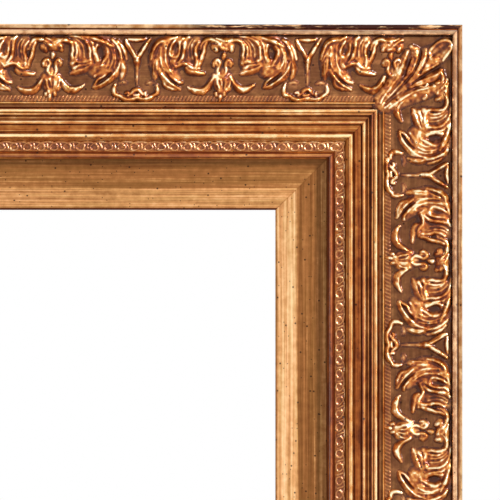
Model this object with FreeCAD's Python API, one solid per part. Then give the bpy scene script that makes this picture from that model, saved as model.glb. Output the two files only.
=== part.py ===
import FreeCAD, Part
import math
import os

V = FreeCAD.Vector

# Gilded picture frame with applied cast ornament, landscape, open, in millimetres.
# X runs along the top rail, Z is up, and the moulded face looks towards -Y.
# The back plane is y = 0, and the origin is the middle of the top rail's back face.
# A rail's section uses u, the distance in from the outer edge, and v, the height
# above the back plane.

# Driving dimensions
picture_width = 508.0
picture_height = 406.4
picture_allowance = 3.0
picture_lip = 6.0

# Members of the outer moulding, from the outer edge to the sight edge
rim_width = 2.3
rim_level = 38.5
outer_bead_width = 3.5
outer_bead_level = 42.9
outer_bead_rise = 1.1
frieze_gap = 0.4
frieze_gap_level = 39.6
frieze_width = 33.6
frieze_high_level = 40.5
frieze_low_level = 29.5
frieze_edge_width = 0.7
frieze_edge_level = 30.3
step_width = 1.8
step_level = 29.0
groove_width = 1.1
groove_level = 27.8
wide_bead_width = 1.7
wide_bead_level = 30.4
wide_bead_rise = 0.5
twin_bead_width = 1.3
twin_bead_level = 29.8
twin_bead_rise = 0.3
hollow_width = 1.2
hollow_level = 28.0
hollow_fillet_width = 0.6
hollow_fillet_level = 28.8
thin_bead_width = 1.7
thin_bead_level = 29.6
thin_bead_rise = 0.5
quirk_width = 0.6
quirk_level = 28.2
flat_band_width = 3.1
flat_band_level = 28.6
channel_width = 1.2
channel_level = 27.4
inner_bead_width = 2.2
inner_bead_level = 29.1
inner_bead_rise = 0.6
slope_width = 1.3
slope_high_level = 28.0
slope_low_level = 26.5
chain_bed_width = 5.7
chain_bed_level = 26.0
chain_groove_width = 1.0
chain_groove_level = 25.4
nose_bead_width = 2.0
nose_bead_level = 26.5
nose_bead_rise = 0.5
nose_width = 0.6
nose_level = 25.0

# Outer side and back of the outer moulding
side_band = 5.5
side_inset = 2.5
side_cove = 5.0
back_chamfer = 1.5
lip_level = 19.5
rebate_depth = 6.35

# Liner, the plain inner moulding that sits in the outer moulding's rebate
liner_clearance = 0.5
liner_width = 32.25
liner_bevel_width = 10.8
liner_sight_level = 12.5
liner_shelf_level = 10.5
liner_back_level = 4.0

# Cast ornament on the frieze
repeat = 87.7
top_corner_to_stem = 79.8
side_corner_to_stem = 77.2
least_space_share = 0.75
ornament_rise = 3.4
ribbing_width = 3.5
ribbing_rise = 0.6
ribbing_chamfer = 0.3
chain_width = 4.9
chain_rise = 0.6
chain_chamfer = 0.3

# V-shaped nails across the mitres
nail_leg = 6.0
nail_sheet = 0.5
nail_depth = 10.0
nail_angle = 90.0
frame_nail_inset = 14.0
frame_nail_pitch = 18.0
frame_nail_count = 3
liner_nail_setback = 13.05
mitre_angle = 45.0

# Points that hold the liner
point_length = 16.0
point_grip = 7.0
point_half_width = 5.0
point_sheet = 0.5
point_tip_half = 2.0
top_point_reach = 170.0
side_point_reach = 130.0

# Turn buttons that hold the picture
button_reach = 18.0
button_tail = 6.0
button_half_width = 5.0
button_corner = 2.5
button_sheet = 1.2
button_gap = 0.1
button_setback = 12.95

# Small wood screws, many-sided because of their size
screw_shank_radius = 1.75
screw_hole_clearance = 0.1
screw_head_radius = 3.3
screw_head_height = 1.1
screw_grip = 12.0
screw_sides = 10

# Hangers, a D ring in a strap on each side rail
hanger_drop_share = 1.0 / 3.0
hanger_setback = 15.45
strap_length = 28.0
strap_half_width = 5.5
strap_sheet = 1.0
strap_corner = 3.0
strap_hole_place = 20.5
ring_wire_radius = 1.25
ring_clearance = 0.1
ring_half_width = 8.5
ring_reach = 15.0
ring_sides = 8
ring_bow_turns = 6

# Bumpers
bumper_radius = 6.0
bumper_crown_radius = 4.0
bumper_height = 3.0
bumper_inset = 33.0
bumper_sides = 16

# One overrun for all cutting tools
overrun = 5.0

# Ornament ridges: along, across, half width and rise at each station.
# Along is a share of half a repeat, across and half width are shares of the frieze
# width, and rise is a share of the ornament's rise.
acanthus_shares = (
    ((0.13, 0.09, 0.028, 0.40), (0.20, 0.067, 0.040, 0.70), (0.25, 0.33, 0.0, 0.0)),
    ((0.25, 0.045, 0.0, 0.0), (0.41, 0.25, 0.090, 0.80), (0.235, 0.57, 0.0, 0.0)),
    ((0.35, 0.48, 0.0, 0.0), (0.51, 0.40, 0.045, 0.70), (0.54, 0.12, 0.042, 0.80),
     (0.76, 0.09, 0.048, 1.00), (0.85, 0.58, 0.0, 0.0)),
    ((0.68, 0.10, 0.055, 0.80), (0.75, 0.40, 0.090, 0.75), (0.69, 0.62, 0.070, 0.60),
     (0.50, 0.79, 0.0, 0.0)),
)
bellflower_shares = (
    ((-0.075, 0.20, 0.025, 0.45), (0.0, 0.085, 0.050, 0.95), (0.075, 0.20, 0.025, 0.45)),
    ((-0.07, 0.35, 0.035, 0.60), (-0.01, 0.69, 0.050, 0.60)),
    ((0.07, 0.35, 0.035, 0.60), (0.01, 0.69, 0.050, 0.60)),
    ((0.0, 0.56, 0.0, 0.0), (0.0, 0.71, 0.100, 0.95), (0.0, 0.97, 0.0, 0.0)),
    ((-0.05, 0.68, 0.030, 0.60), (-0.21, 0.84, 0.050, 0.70), (-0.37, 0.76, 0.0, 0.0)),
    ((0.05, 0.68, 0.030, 0.60), (0.21, 0.84, 0.050, 0.70), (0.37, 0.76, 0.0, 0.0)),
)
stem_shares = (
    ((-0.105, 0.085, 0.028, 0.50), (0.0, 0.37, 0.046, 0.80), (0.0, 0.79, 0.012, 0.25)),
    ((0.105, 0.085, 0.028, 0.50), (0.0, 0.36, 0.040, 0.75)),
    ((-0.25, 0.76, 0.0, 0.0), (-0.16, 0.92, 0.034, 0.60), (0.0, 0.87, 0.070, 0.75),
     (0.16, 0.92, 0.034, 0.60), (0.25, 0.76, 0.0, 0.0)),
)

# Ridges of half the corner leaf, the spine on the mitre first: distance in from the
# side edge and from the top edge, half width and rise. The first three are shares of
# the frieze width, the last of the ornament's rise.
corner_leaf_shares = (
    ((0.20, 0.20, 0.040, 0.40), (0.34, 0.34, 0.130, 1.00), (0.64, 0.64, 0.060, 0.80),
     (1.04, 1.04, 0.110, 0.90), (1.17, 1.17, 0.030, 0.40)),
    ((0.66, 0.26, 0.0, 0.0), (0.78, 0.56, 0.060, 0.75), (1.04, 0.95, 0.060, 0.60)),
    ((0.88, 0.36, 0.0, 0.0), (0.94, 0.66, 0.060, 0.75), (1.13, 1.02, 0.060, 0.60)),
)

# Derived sizes
sight_width = picture_width + picture_allowance - 2 * picture_lip
sight_height = picture_height + picture_allowance - 2 * picture_lip

# Front members of the outer moulding: name, kind, width, level where it starts, and
# level where it ends or, for a bead, its rise
members = (
    ("rim", "run", rim_width, rim_level, rim_level),
    ("outer_bead", "bead", outer_bead_width, outer_bead_level, outer_bead_rise),
    ("frieze_gap", "run", frieze_gap, frieze_gap_level, frieze_gap_level),
    ("frieze", "run", frieze_width, frieze_high_level, frieze_low_level),
    ("frieze_edge", "run", frieze_edge_width, frieze_edge_level, frieze_edge_level),
    ("step", "run", step_width, step_level, step_level),
    ("groove", "run", groove_width, groove_level, groove_level),
    ("wide_bead", "bead", wide_bead_width, wide_bead_level, wide_bead_rise),
    ("twin_bead", "bead", twin_bead_width, twin_bead_level, twin_bead_rise),
    ("hollow_out", "run", hollow_width, hollow_level, hollow_level),
    ("hollow_fillet", "run", hollow_fillet_width, hollow_fillet_level,
     hollow_fillet_level),
    ("hollow_in", "run", hollow_width, hollow_level, hollow_level),
    ("thin_bead", "bead", thin_bead_width, thin_bead_level, thin_bead_rise),
    ("quirk", "run", quirk_width, quirk_level, quirk_level),
    ("flat_band", "run", flat_band_width, flat_band_level, flat_band_level),
    ("channel", "run", channel_width, channel_level, channel_level),
    ("inner_bead", "bead", inner_bead_width, inner_bead_level, inner_bead_rise),
    ("slope", "run", slope_width, slope_high_level, slope_low_level),
    ("chain_bed", "run", chain_bed_width, chain_bed_level, chain_bed_level),
    ("chain_groove", "run", chain_groove_width, chain_groove_level,
     chain_groove_level),
    ("nose_bead", "bead", nose_bead_width, nose_bead_level, nose_bead_rise),
    ("nose", "run", nose_width, nose_level, nose_level),
)


def start_of(name):
    """Distance from the outer edge to the start of a named front member."""
    reach = 0.0
    for member in members:
        if member[0] == name:
            return reach
        reach += member[2]
    raise ValueError(name)


moulding_width = start_of("nose") + nose_width
rebate_wall = moulding_width - rebate_depth
liner_start = rebate_wall + liner_clearance
liner_end = liner_start + liner_width
liner_arris = liner_end - liner_bevel_width
liner_shelf_start = liner_end - picture_lip
liner_nail_inset = liner_start + liner_nail_setback
button_inset = liner_start + button_setback
hanger_inset = rebate_wall - hanger_setback
outer_width = sight_width + 2 * liner_end
outer_height = sight_height + 2 * liner_end
back_start = side_inset + back_chamfer
top_edge = (back_start + rebate_wall) / 2
middle_z = top_edge - outer_height / 2
frieze_start = start_of("frieze")
roll_radius = ring_wire_radius + ring_clearance + strap_sheet

# Each leg of the frame: turn about Y, and its outer edge's distance from the middle.
# On the leg as drawn, X runs along it, Z = -u and Y = -v.
legs = {
    "top": (0, outer_height / 2, outer_width),
    "right": (90, outer_width / 2, outer_height),
    "bottom": (180, outer_height / 2, outer_width),
    "left": (270, outer_width / 2, outer_height),
}


def seat_on_leg(shape, leg):
    """A copy of a shape drawn on a leg, moved to that leg's place in the frame."""
    turn, reach, _ = legs[leg]
    placed = shape.copy()
    placed.translate(V(0, 0, reach))
    placed.rotate(V(0, 0, 0), V(0, 1, 0), turn)
    placed.translate(V(0, 0, middle_z))
    return placed


def polygon_face(points):
    """A flat face through the given points."""
    return Part.Face(Part.makePolygon(list(points) + [points[0]]))


def section_point(u, v):
    """A point of a rail's section, in the plane X = 0 of the leg as drawn."""
    return V(0, -v, -u)


def section_line(start, end):
    """A straight edge of a section between two (u, v) points."""
    return Part.makeLine(section_point(*start), section_point(*end))


def section_arc(start, middle, end):
    """A round edge of a section through three (u, v) points."""
    arc = Part.Arc(section_point(*start), section_point(*middle), section_point(*end))
    return arc.toShape()


def moulding_section():
    """Section of the outer moulding: members in front, rebate, back and coved side."""
    edges = []
    here = (0.0, rim_level)
    for _, kind, width, level, end in members:
        if here[1] != level:
            edges.append(section_line(here, (here[0], level)))
            here = (here[0], level)
        if kind == "bead":
            there = (here[0] + width, level)
            crown = (here[0] + width / 2, level + end)
            edges.append(section_arc(here, crown, there))
        else:
            there = (here[0] + width, end)
            edges.append(section_line(here, there))
        here = there
    side_foot = rim_level - side_band
    cove_foot = side_foot - side_cove
    cove_middle = (side_inset * math.cos(math.pi / 4),
                   cove_foot + side_cove * math.sin(math.pi / 4))
    corners = ((moulding_width, lip_level), (rebate_wall, lip_level),
               (rebate_wall, 0.0), (back_start, 0.0), (side_inset, back_chamfer),
               (side_inset, cove_foot))
    for corner in corners:
        edges.append(section_line(here, corner))
        here = corner
    edges.append(section_arc(here, cove_middle, (0.0, side_foot)))
    edges.append(section_line((0.0, side_foot), (0.0, rim_level)))
    return Part.Face(Part.Wire(edges))


def liner_section():
    """Section of the liner: flat panel, bevel, sight edge, picture rebate and back."""
    return polygon_face([section_point(*corner) for corner in (
        (liner_start, lip_level), (liner_arris, lip_level),
        (liner_end, liner_sight_level), (liner_end, liner_shelf_level),
        (liner_shelf_start, liner_shelf_level), (liner_shelf_start, liner_back_level),
        (liner_start, liner_back_level))])


def strip_section(start, end, low, high, rise, chamfer):
    """Section of a flat strip on a bed from (start, low) to (end, high)."""
    return polygon_face([section_point(*corner) for corner in (
        (start, low), (start + chamfer, low + rise), (end - chamfer, high + rise),
        (end, high))])


def mitred(section, leg):
    """A section run along a leg and cut at 45 degrees at both ends."""
    length = legs[leg][2]
    bar = section.extrude(V(length, 0, 0))
    bar.translate(V(-length / 2, 0, 0))
    reach = liner_end + overrun
    depth = frieze_high_level + ornament_rise + overrun
    wedge = polygon_face([
        V(-length / 2, overrun, 0), V(length / 2, overrun, 0),
        V(length / 2 - reach, overrun, -reach), V(-length / 2 + reach, overrun, -reach)])
    return bar.common(wedge.extrude(V(0, -depth - 2 * overrun, 0)))


def frieze_level(u):
    """Height of the sloping frieze ground at a distance from the outer edge."""
    fall = (frieze_high_level - frieze_low_level) / frieze_width
    return frieze_high_level - (u - frieze_start) * fall


def on_frieze(along, u, rise):
    """A point a given rise above the frieze ground of a leg as drawn."""
    return V(along, -frieze_level(u) - rise, -u)


def closed_solid(facets):
    """The solid inside a closed set of flat faces."""
    shell = Part.makeShell(facets)
    shell.sewShape()
    solid = Part.makeSolid(shell)
    if solid.Volume < 0:
        solid.reverse()
    return solid


def add_facet(facets, corners):
    """Add the triangle between three corners, unless two of them are the same."""
    if all((a - b).Length > ribbing_chamfer / 100
           for a, b in zip(corners, corners[1:] + corners[:1])):
        facets.append(polygon_face(corners))


def ridge(stations, point):
    """A carved ridge: a crest line between two feet, tapered along hand-set stations.

    Each station is along, across, half width and rise, and point turns along, across
    and rise into a place over the ground that carries the ridge.
    """
    left, crest, right = [], [], []
    for i, (along, across, half, rise) in enumerate(stations):
        before = stations[max(i - 1, 0)]
        after = stations[min(i + 1, len(stations) - 1)]
        run = math.hypot(after[0] - before[0], after[1] - before[1])
        side = ((before[1] - after[1]) / run * half, (after[0] - before[0]) / run * half)
        left.append(point(along + side[0], across + side[1], 0))
        crest.append(point(along, across, rise))
        right.append(point(along - side[0], across - side[1], 0))
    facets = []
    for i in range(len(stations) - 1):
        add_facet(facets, [left[i], left[i + 1], crest[i]])
        add_facet(facets, [left[i + 1], crest[i + 1], crest[i]])
        add_facet(facets, [crest[i], crest[i + 1], right[i]])
        add_facet(facets, [crest[i + 1], right[i + 1], right[i]])
    for i, order in ((0, 1), (-1, -1)):
        add_facet(facets, [left[i], crest[i], right[i]][::order])
    outline = []
    for corner in left + right[::-1]:
        if all((corner - known).Length > ribbing_chamfer / 100 for known in outline):
            outline.append(corner)
    facets.append(polygon_face(outline))
    return closed_solid(facets)


def turned(outline, sides):
    """A many-sided solid of revolution about Y, from (radius, y) points on its side."""
    levels = []
    for radius, y in outline:
        turns = [2 * math.pi * i / sides for i in range(sides)]
        levels.append([V(radius * math.cos(turn), y, radius * math.sin(turn))
                       for turn in turns])
    facets = [polygon_face(levels[0]), polygon_face(levels[-1])]
    for low, high in zip(levels, levels[1:]):
        for i in range(sides):
            beside = (i + 1) % sides
            facets.append(polygon_face([low[i], low[beside], high[beside], high[i]]))
    return closed_solid(facets)


def casting(ridges):
    """One cast piece, made of ridges that run into each other."""
    return ridges[0].multiFuse(ridges[1:]).removeSplitter()


def frieze_casting(share_table, half_repeat):
    """A casting drawn in shares of half a repeat and of the frieze width."""
    ridges = []
    for share_row in share_table:
        stations = [(along * half_repeat, frieze_start + across * frieze_width,
                     half * frieze_width, rise * ornament_rise)
                    for along, across, half, rise in share_row]
        ridges.append(ridge(stations, on_frieze))
    return casting(ridges)


def stem_places(leg):
    """Where a leg's stems stand, a repeat apart from both corners.

    The middle of the leg has a space of its own width, or a stem with two such spaces.
    """
    corner_to_stem = top_corner_to_stem if leg in ("top", "bottom") else side_corner_to_stem
    from_corner = legs[leg][2] / 2 - corner_to_stem
    least = least_space_share * repeat
    count = math.floor((from_corner - least / 2) / repeat) + 1
    places = [from_corner - i * repeat for i in range(count)]
    middle = [0.0] if places[-1] > least else []
    return [-place for place in places] + middle + places[::-1]


def ribbing_strip(leg):
    """Ribbed strip along the low side of the frieze, on the leg as drawn."""
    end = frieze_start + frieze_width
    start = end - ribbing_width
    return mitred(strip_section(start, end, frieze_level(start), frieze_level(end),
                                ribbing_rise, ribbing_chamfer), leg)


def chain_strip(leg):
    """Strip in the chain bed, on the leg as drawn."""
    start = start_of("chain_bed") + (chain_bed_width - chain_width) / 2
    return mitred(strip_section(start, start + chain_width, chain_bed_level,
                                chain_bed_level, chain_rise, chain_chamfer), leg)


def leg_ornament(leg):
    """Acanthus scrolls, bellflowers and shell stems of one leg.

    Each space between two stems has a bellflower in its middle and a scroll to either
    side. The two end spaces have only the scroll at their stem. The bellflowers and the
    shells lie over the ribbed strip and are notched for it.
    """
    stems = stem_places(leg)
    ribbing = ribbing_strip(leg)
    shell = frieze_casting(stem_shares, repeat / 2).cut(ribbing)
    groups = {"acanthus": [], "bellflowers": [], "shells": []}
    for place in stems:
        copy = shell.copy()
        copy.translate(V(place, 0, 0))
        groups["shells"].append(copy)
    bounds = [stems[0] - repeat] + stems + [stems[-1] + repeat]
    for near, far in zip(bounds, bounds[1:]):
        half = (far - near) / 2
        scroll = frieze_casting(acanthus_shares, half)
        pieces = []
        if far in stems:
            pieces.append(("acanthus", scroll))
        if near in stems:
            pieces.append(("acanthus", scroll.mirror(V(0, 0, 0), V(1, 0, 0))))
        if near in stems and far in stems:
            bellflower = frieze_casting(bellflower_shares, half).cut(ribbing)
            pieces.append(("bellflowers", bellflower))
        for name, shape in pieces:
            shape.translate(V((near + far) / 2, 0, 0))
            groups[name].append(shape)
    return {name: seat_on_leg(Part.makeCompound(shapes), leg)
            for name, shapes in groups.items()}


def corner_leaf():
    """Leaf over the top right mitre, as drawn with the outer corner at the origin."""
    def on_top_leg(aside, down, rise):
        return on_frieze(-aside, down, rise)

    ridges = []
    for share_row in corner_leaf_shares:
        stations = [(aside * frieze_width, down * frieze_width, half * frieze_width,
                     rise * ornament_rise) for aside, down, half, rise in share_row]
        ridges.append(ridge(stations, on_top_leg))
    reach = 2 * (frieze_start + frieze_width)
    wedge = polygon_face([V(0, 0, 0), V(-reach, 0, 0), V(-reach, 0, -reach)])
    half = casting(ridges).common(wedge.extrude(V(0, -reach, 0)))
    return casting([half, half.mirror(V(0, 0, 0), V(1, 0, -1))])


def mitre_nail(inset, level):
    """A V-shaped nail across the top right mitre, flush with a back at a level."""
    half = math.radians(nail_angle / 2)
    tips = []
    for leg_length in (nail_leg, nail_leg - nail_sheet / math.tan(half)):
        tips.append((leg_length * math.cos(half), leg_length * math.sin(half)))
    spine = nail_sheet / math.sin(half)
    outline = [V(0, 0, 0), V(tips[0][1], 0, tips[0][0]),
               V(tips[0][1] - nail_sheet * math.cos(half), 0,
                 tips[0][0] + nail_sheet * math.sin(half)),
               V(0, 0, spine),
               V(-tips[0][1] + nail_sheet * math.cos(half), 0,
                 tips[0][0] + nail_sheet * math.sin(half)),
               V(-tips[0][1], 0, tips[0][0])]
    nail = polygon_face(outline).extrude(V(0, -nail_depth, 0))
    nail.rotate(V(0, 0, 0), V(0, 1, 0), mitre_angle)
    nail.translate(V(outer_width / 2 - inset, -level, outer_height / 2 - inset))
    return nail


def four_corners(shape):
    """A shape drawn at the top right of a frame centred on the origin, at all corners."""
    placed = []
    for flip_x in (False, True):
        for flip_z in (False, True):
            copy = shape.copy()
            if flip_x:
                copy = copy.mirror(V(0, 0, 0), V(1, 0, 0))
            if flip_z:
                copy = copy.mirror(V(0, 0, 0), V(0, 0, 1))
            copy.translate(V(0, 0, middle_z))
            placed.append(copy)
    return placed


def mitre_nails(insets, level):
    """All nails of one moulding, at all four corners."""
    nails = []
    for inset in insets:
        nails.extend(four_corners(mitre_nail(inset, level)))
    return Part.makeCompound(nails)


def liner_point(along):
    """A flat point driven into the outer moulding over the liner's back."""
    start = rebate_wall - point_grip
    end = start + point_length
    shoulder = rebate_wall
    outline = [(along - point_tip_half, start), (along + point_tip_half, start),
               (along + point_half_width, shoulder), (along + point_half_width, end),
               (along - point_half_width, end), (along - point_half_width, shoulder)]
    plate = polygon_face([V(x, -liner_back_level, -u) for x, u in outline])
    return plate.extrude(V(0, point_sheet, 0))


def turn_button():
    """A flat turn button on the liner's back, long end along the leg."""
    half, clip = button_half_width, button_corner
    outline = [(-button_tail, clip - half), (clip - button_tail, -half),
               (button_reach - clip, -half), (button_reach, clip - half),
               (button_reach, half - clip), (button_reach - clip, half),
               (clip - button_tail, half), (-button_tail, half - clip)]
    plate = polygon_face([V(x, 0, z) for x, z in outline]).extrude(V(0, button_sheet, 0))
    hole = Part.makeCylinder(screw_shank_radius + screw_hole_clearance,
                             button_sheet + 2 * overrun, V(0, -overrun, 0), V(0, 1, 0))
    button = plate.cut(hole)
    button.translate(V(0, -liner_back_level + button_gap, -button_inset))
    return button


def screw(plate):
    """A wood screw along Y, its head on a plate of a given thickness on the wood."""
    shank = turned([(screw_shank_radius, -screw_grip), (screw_shank_radius, plate)],
                   screw_sides)
    head = turned([(screw_head_radius, plate),
                   (screw_head_radius, plate + screw_head_height)], screw_sides)
    return shank.fuse(head).removeSplitter()


def button_screw():
    """The screw that a turn button turns on."""
    body = screw(button_sheet + 2 * button_gap)
    body.translate(V(0, -liner_back_level, -button_inset))
    return body


def hanger_strap():
    """Strap at the origin: roll on the Z axis, plate running towards +X, back at Y 0."""
    half = strap_half_width
    plate = polygon_face([
        V(0, 0, -half), V(strap_length - strap_corner, 0, -half),
        V(strap_length, 0, -half + strap_corner), V(strap_length, 0, half - strap_corner),
        V(strap_length - strap_corner, 0, half), V(0, 0, half)])
    roll = Part.makeCylinder(roll_radius, 2 * half, V(0, roll_radius, -half), V(0, 0, 1))
    bore = Part.makeCylinder(ring_wire_radius + ring_clearance, 2 * half + 2 * overrun,
                             V(0, roll_radius, -half - overrun), V(0, 0, 1))
    hole = turned([(screw_shank_radius, -overrun),
                   (screw_shank_radius, strap_sheet + overrun)], screw_sides)
    hole.translate(V(strap_hole_place, 0, 0))
    strap = plate.extrude(V(0, strap_sheet, 0)).fuse(roll)
    return strap.cut([bore, hole]).removeSplitter()


def hanger_ring():
    """D ring on the Z axis through the strap's roll, its bow towards -X.

    The wire's bow has flat-sided bends, and the bar in the roll is round.
    """
    bow_middle = ring_reach - ring_half_width
    path = [(0.0, -ring_half_width), (0.0, ring_half_width)]
    for i in range(ring_bow_turns + 1):
        turn = math.pi * i / ring_bow_turns
        path.append((bow_middle + ring_half_width * math.sin(turn),
                     ring_half_width * math.cos(turn)))
    rings = []
    for i, here in enumerate(path):
        before, after = path[i - 1], path[(i + 1) % len(path)]
        start = math.atan2(here[1] - before[1], here[0] - before[0])
        end = math.atan2(after[1] - here[1], after[0] - here[0])
        half_turn = math.remainder(end - start, 2 * math.pi) / 2
        aim = start + half_turn + math.pi / 2
        stretch = ring_wire_radius / math.cos(half_turn)
        ring = []
        for side in range(ring_sides):
            turn = 2 * math.pi * (side + 1 / 2) / ring_sides
            out = stretch * math.cos(turn)
            ring.append(V(-here[0] - out * math.cos(aim),
                          roll_radius + ring_wire_radius * math.sin(turn),
                          here[1] + out * math.sin(aim)))
        rings.append(ring)
    facets = []
    for i, ring in enumerate(rings):
        following = rings[(i + 1) % len(rings)]
        for side in range(ring_sides):
            beside = (side + 1) % ring_sides
            facets.append(polygon_face([ring[side], ring[beside], following[beside],
                                        following[side]]))
    bow = closed_solid(facets)
    bar = Part.makeCylinder(ring_wire_radius, 2 * strap_half_width + 2 * ring_wire_radius,
                            V(0, roll_radius, -strap_half_width - ring_wire_radius),
                            V(0, 0, 1))
    return bow.fuse(bar).removeSplitter()


def hanger_place(shape, side):
    """A hanger piece on the left or the right rail, bow towards the opening."""
    placed = shape.copy()
    placed.translate(V(outer_width / 2 - hanger_inset, 0,
                       top_edge - outer_height * hanger_drop_share))
    if side == "left":
        placed = placed.mirror(V(0, 0, 0), V(1, 0, 0))
    return placed


def bumper():
    """A domed bumper at the lower right of a frame centred on the origin."""
    body = turned([(bumper_radius, 0), (bumper_crown_radius, bumper_height)],
                  bumper_sides)
    body.translate(V(outer_width / 2 - bumper_inset, 0,
                     -outer_height / 2 + bumper_inset))
    return body


def build():
    """All nodes of the frame, by name."""
    nodes = {}
    frame_nails = mitre_nails([frame_nail_inset + i * frame_nail_pitch
                               for i in range(frame_nail_count)], 0)
    liner_nails = mitre_nails([liner_nail_inset], liner_back_level)
    points, screws = [], []
    for leg in legs:
        point_reach = top_point_reach if leg in ("top", "bottom") else side_point_reach
        leg_points = [seat_on_leg(liner_point(place), leg)
                      for place in (-point_reach, point_reach)]
        leg_screw = seat_on_leg(button_screw(), leg)
        points.extend(leg_points)
        screws.append(leg_screw)
        nodes["turn_button_" + leg] = seat_on_leg(turn_button(), leg)
        rail = seat_on_leg(mitred(moulding_section(), leg), leg)
        nodes["rail_" + leg] = rail.cut([frame_nails] + leg_points)
        liner = seat_on_leg(mitred(liner_section(), leg), leg)
        nodes["liner_" + leg] = liner.cut([liner_nails, leg_screw])
        nodes["ribbing_" + leg] = seat_on_leg(ribbing_strip(leg), leg)
        nodes["chain_" + leg] = seat_on_leg(chain_strip(leg), leg)
        for name, group in leg_ornament(leg).items():
            nodes[name + "_" + leg] = group
    nodes["frame_nails"] = frame_nails
    nodes["liner_nails"] = liner_nails
    nodes["liner_points"] = Part.makeCompound(points)
    nodes["button_screws"] = Part.makeCompound(screws)
    leaf = corner_leaf()
    leaf.translate(V(outer_width / 2, 0, outer_height / 2 + middle_z))
    leaf = leaf.cut([nodes[name] for name in (
        "rail_top", "rail_right", "ribbing_top", "ribbing_right")])
    leaf.translate(V(0, 0, -middle_z))
    names = ("top_right", "bottom_right", "top_left", "bottom_left")
    for name, placed in zip(names, four_corners(leaf)):
        nodes["corner_leaf_" + name] = placed
    hanger_screws = []
    for side in ("left", "right"):
        fastener = screw(strap_sheet)
        fastener.translate(V(strap_hole_place, 0, 0))
        fastener = hanger_place(fastener, side)
        hanger_screws.append(fastener)
        nodes["rail_" + side] = nodes["rail_" + side].cut(fastener)
        nodes["hanger_strap_" + side] = hanger_place(hanger_strap(), side)
        nodes["hanger_ring_" + side] = hanger_place(hanger_ring(), side)
    nodes["hanger_screws"] = Part.makeCompound(hanger_screws)
    lower = bumper()
    lower.translate(V(0, 0, middle_z))
    nodes["wall_bumpers"] = Part.makeCompound([lower, lower.mirror(V(0, 0, 0), V(1, 0, 0))])
    return nodes


os.makedirs("parts", exist_ok=True)
for name, shape in build().items():
    shape.exportStep("parts/" + name + ".step")
    print(name, len(shape.Solids), shape.isValid(), round(shape.Volume))
print("outer size", outer_width, outer_height, "sight", sight_width, sight_height)
print("moulding", moulding_width, "liner from", liner_start, "to", liner_end)
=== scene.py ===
import math

import bpy
import numpy as np
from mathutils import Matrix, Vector


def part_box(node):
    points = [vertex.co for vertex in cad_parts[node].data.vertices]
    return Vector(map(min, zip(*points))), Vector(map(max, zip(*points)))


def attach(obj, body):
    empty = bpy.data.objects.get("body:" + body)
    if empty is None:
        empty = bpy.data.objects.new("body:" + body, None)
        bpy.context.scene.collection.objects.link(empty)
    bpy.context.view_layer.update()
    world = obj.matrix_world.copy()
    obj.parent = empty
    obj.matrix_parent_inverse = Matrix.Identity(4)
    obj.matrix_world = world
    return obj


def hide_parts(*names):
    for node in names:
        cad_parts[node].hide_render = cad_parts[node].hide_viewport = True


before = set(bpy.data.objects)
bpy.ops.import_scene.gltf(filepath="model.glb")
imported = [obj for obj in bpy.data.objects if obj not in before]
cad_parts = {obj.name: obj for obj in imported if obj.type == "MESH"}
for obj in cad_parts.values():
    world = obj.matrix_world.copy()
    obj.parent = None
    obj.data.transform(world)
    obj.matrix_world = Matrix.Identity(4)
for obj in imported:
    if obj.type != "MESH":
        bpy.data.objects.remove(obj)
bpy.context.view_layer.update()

MM = 0.001

# Sizes read from the frame, in millimetres
low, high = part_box("rail_top")
OUTER_W = (high.x - low.x) / MM
TOP_Z = high.z / MM
low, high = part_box("rail_bottom")
OUTER_H = TOP_Z - low.z / MM
MIDDLE_Z = TOP_Z - OUTER_H / 2
LINER_BACK = 4.0

LEGS = {
    "top": (0, OUTER_H / 2, OUTER_W),
    "right": (90, OUTER_W / 2, OUTER_H),
    "bottom": (180, OUTER_H / 2, OUTER_W),
    "left": (270, OUTER_W / 2, OUTER_H),
}

# Photograph: millimetres to a pixel, outer corner's pixel, and frieze row 0
PX = 0.5145
CORNER_X, CORNER_Y = 462.5, 24.6
ROW_START = 5.6

# Members of the moulding from the outer edge in: kind, width, level, end level or
# crown rise, bronze tint (0 gold, 1 brown bronze) and tone shift. The tone shifts are
# partly each member's own colour and partly painted shade, darkest in the grooves and quirks.
MEMBERS = (
    ("run", 2.1, 38.5, 38.5, 0.7, 0.4),
    ("run", 0.85, 37.9, 37.9, 0.2, -0.2),
    ("bead", 2.65, 41.9, 2.05, 0.9, -0.05),
    ("run", 0.6, 39.6, 39.6, 0.2, -0.25),
    ("run", 33.6, 40.5, 29.5, 1.0, -0.04),
    ("run", 0.7, 30.3, 30.3, 0.2, -0.14),
    ("run", 1.8, 29.0, 29.0, 0.85, -0.07),
    ("run", 1.1, 27.8, 27.8, 0.0, -0.18),
    ("bead", 1.7, 30.0, 0.88, 0.0, -0.06),
    ("bead", 1.3, 29.3, 0.65, 0.0, -0.22),
    ("run", 1.2, 28.0, 28.0, 0.6, -0.15),
    ("run", 0.6, 28.8, 28.8, 0.6, 0.0),
    ("run", 1.2, 28.0, 28.0, 0.6, -0.1),
    ("bead", 1.7, 29.2, 0.88, 0.0, -0.2),
    ("run", 0.6, 28.2, 28.2, 0.3, -0.3),
    ("run", 3.1, 28.6, 28.6, 0.45, -0.12),
    ("run", 1.2, 27.4, 27.4, 0.0, -0.15),
    ("bead", 2.2, 28.5, 1.15, 0.0, -0.05),
    ("run", 1.3, 28.0, 26.5, 0.2, 0.15),
    ("run", 5.7, 26.0, 26.0, 0.4, -0.12),
    ("run", 1.0, 25.4, 25.4, 0.0, -0.36),
    ("bead", 2.0, 26.0, 0.95, 0.2, -0.46),
    ("run", 0.6, 25.0, 25.0, 0.0, -0.2),
)
RIM_BEAD = 2
FRIEZE = 4
CHAIN_BED = 19
RIM_TOP = MEMBERS[RIM_BEAD][2] + MEMBERS[RIM_BEAD][3]
SIDE_BAND, SIDE_INSET, SIDE_COVE, BACK_CHAMFER = 5.5, 2.5, 5.0, 1.5
LIP_LEVEL, REBATE = 19.5, 6.35

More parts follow.
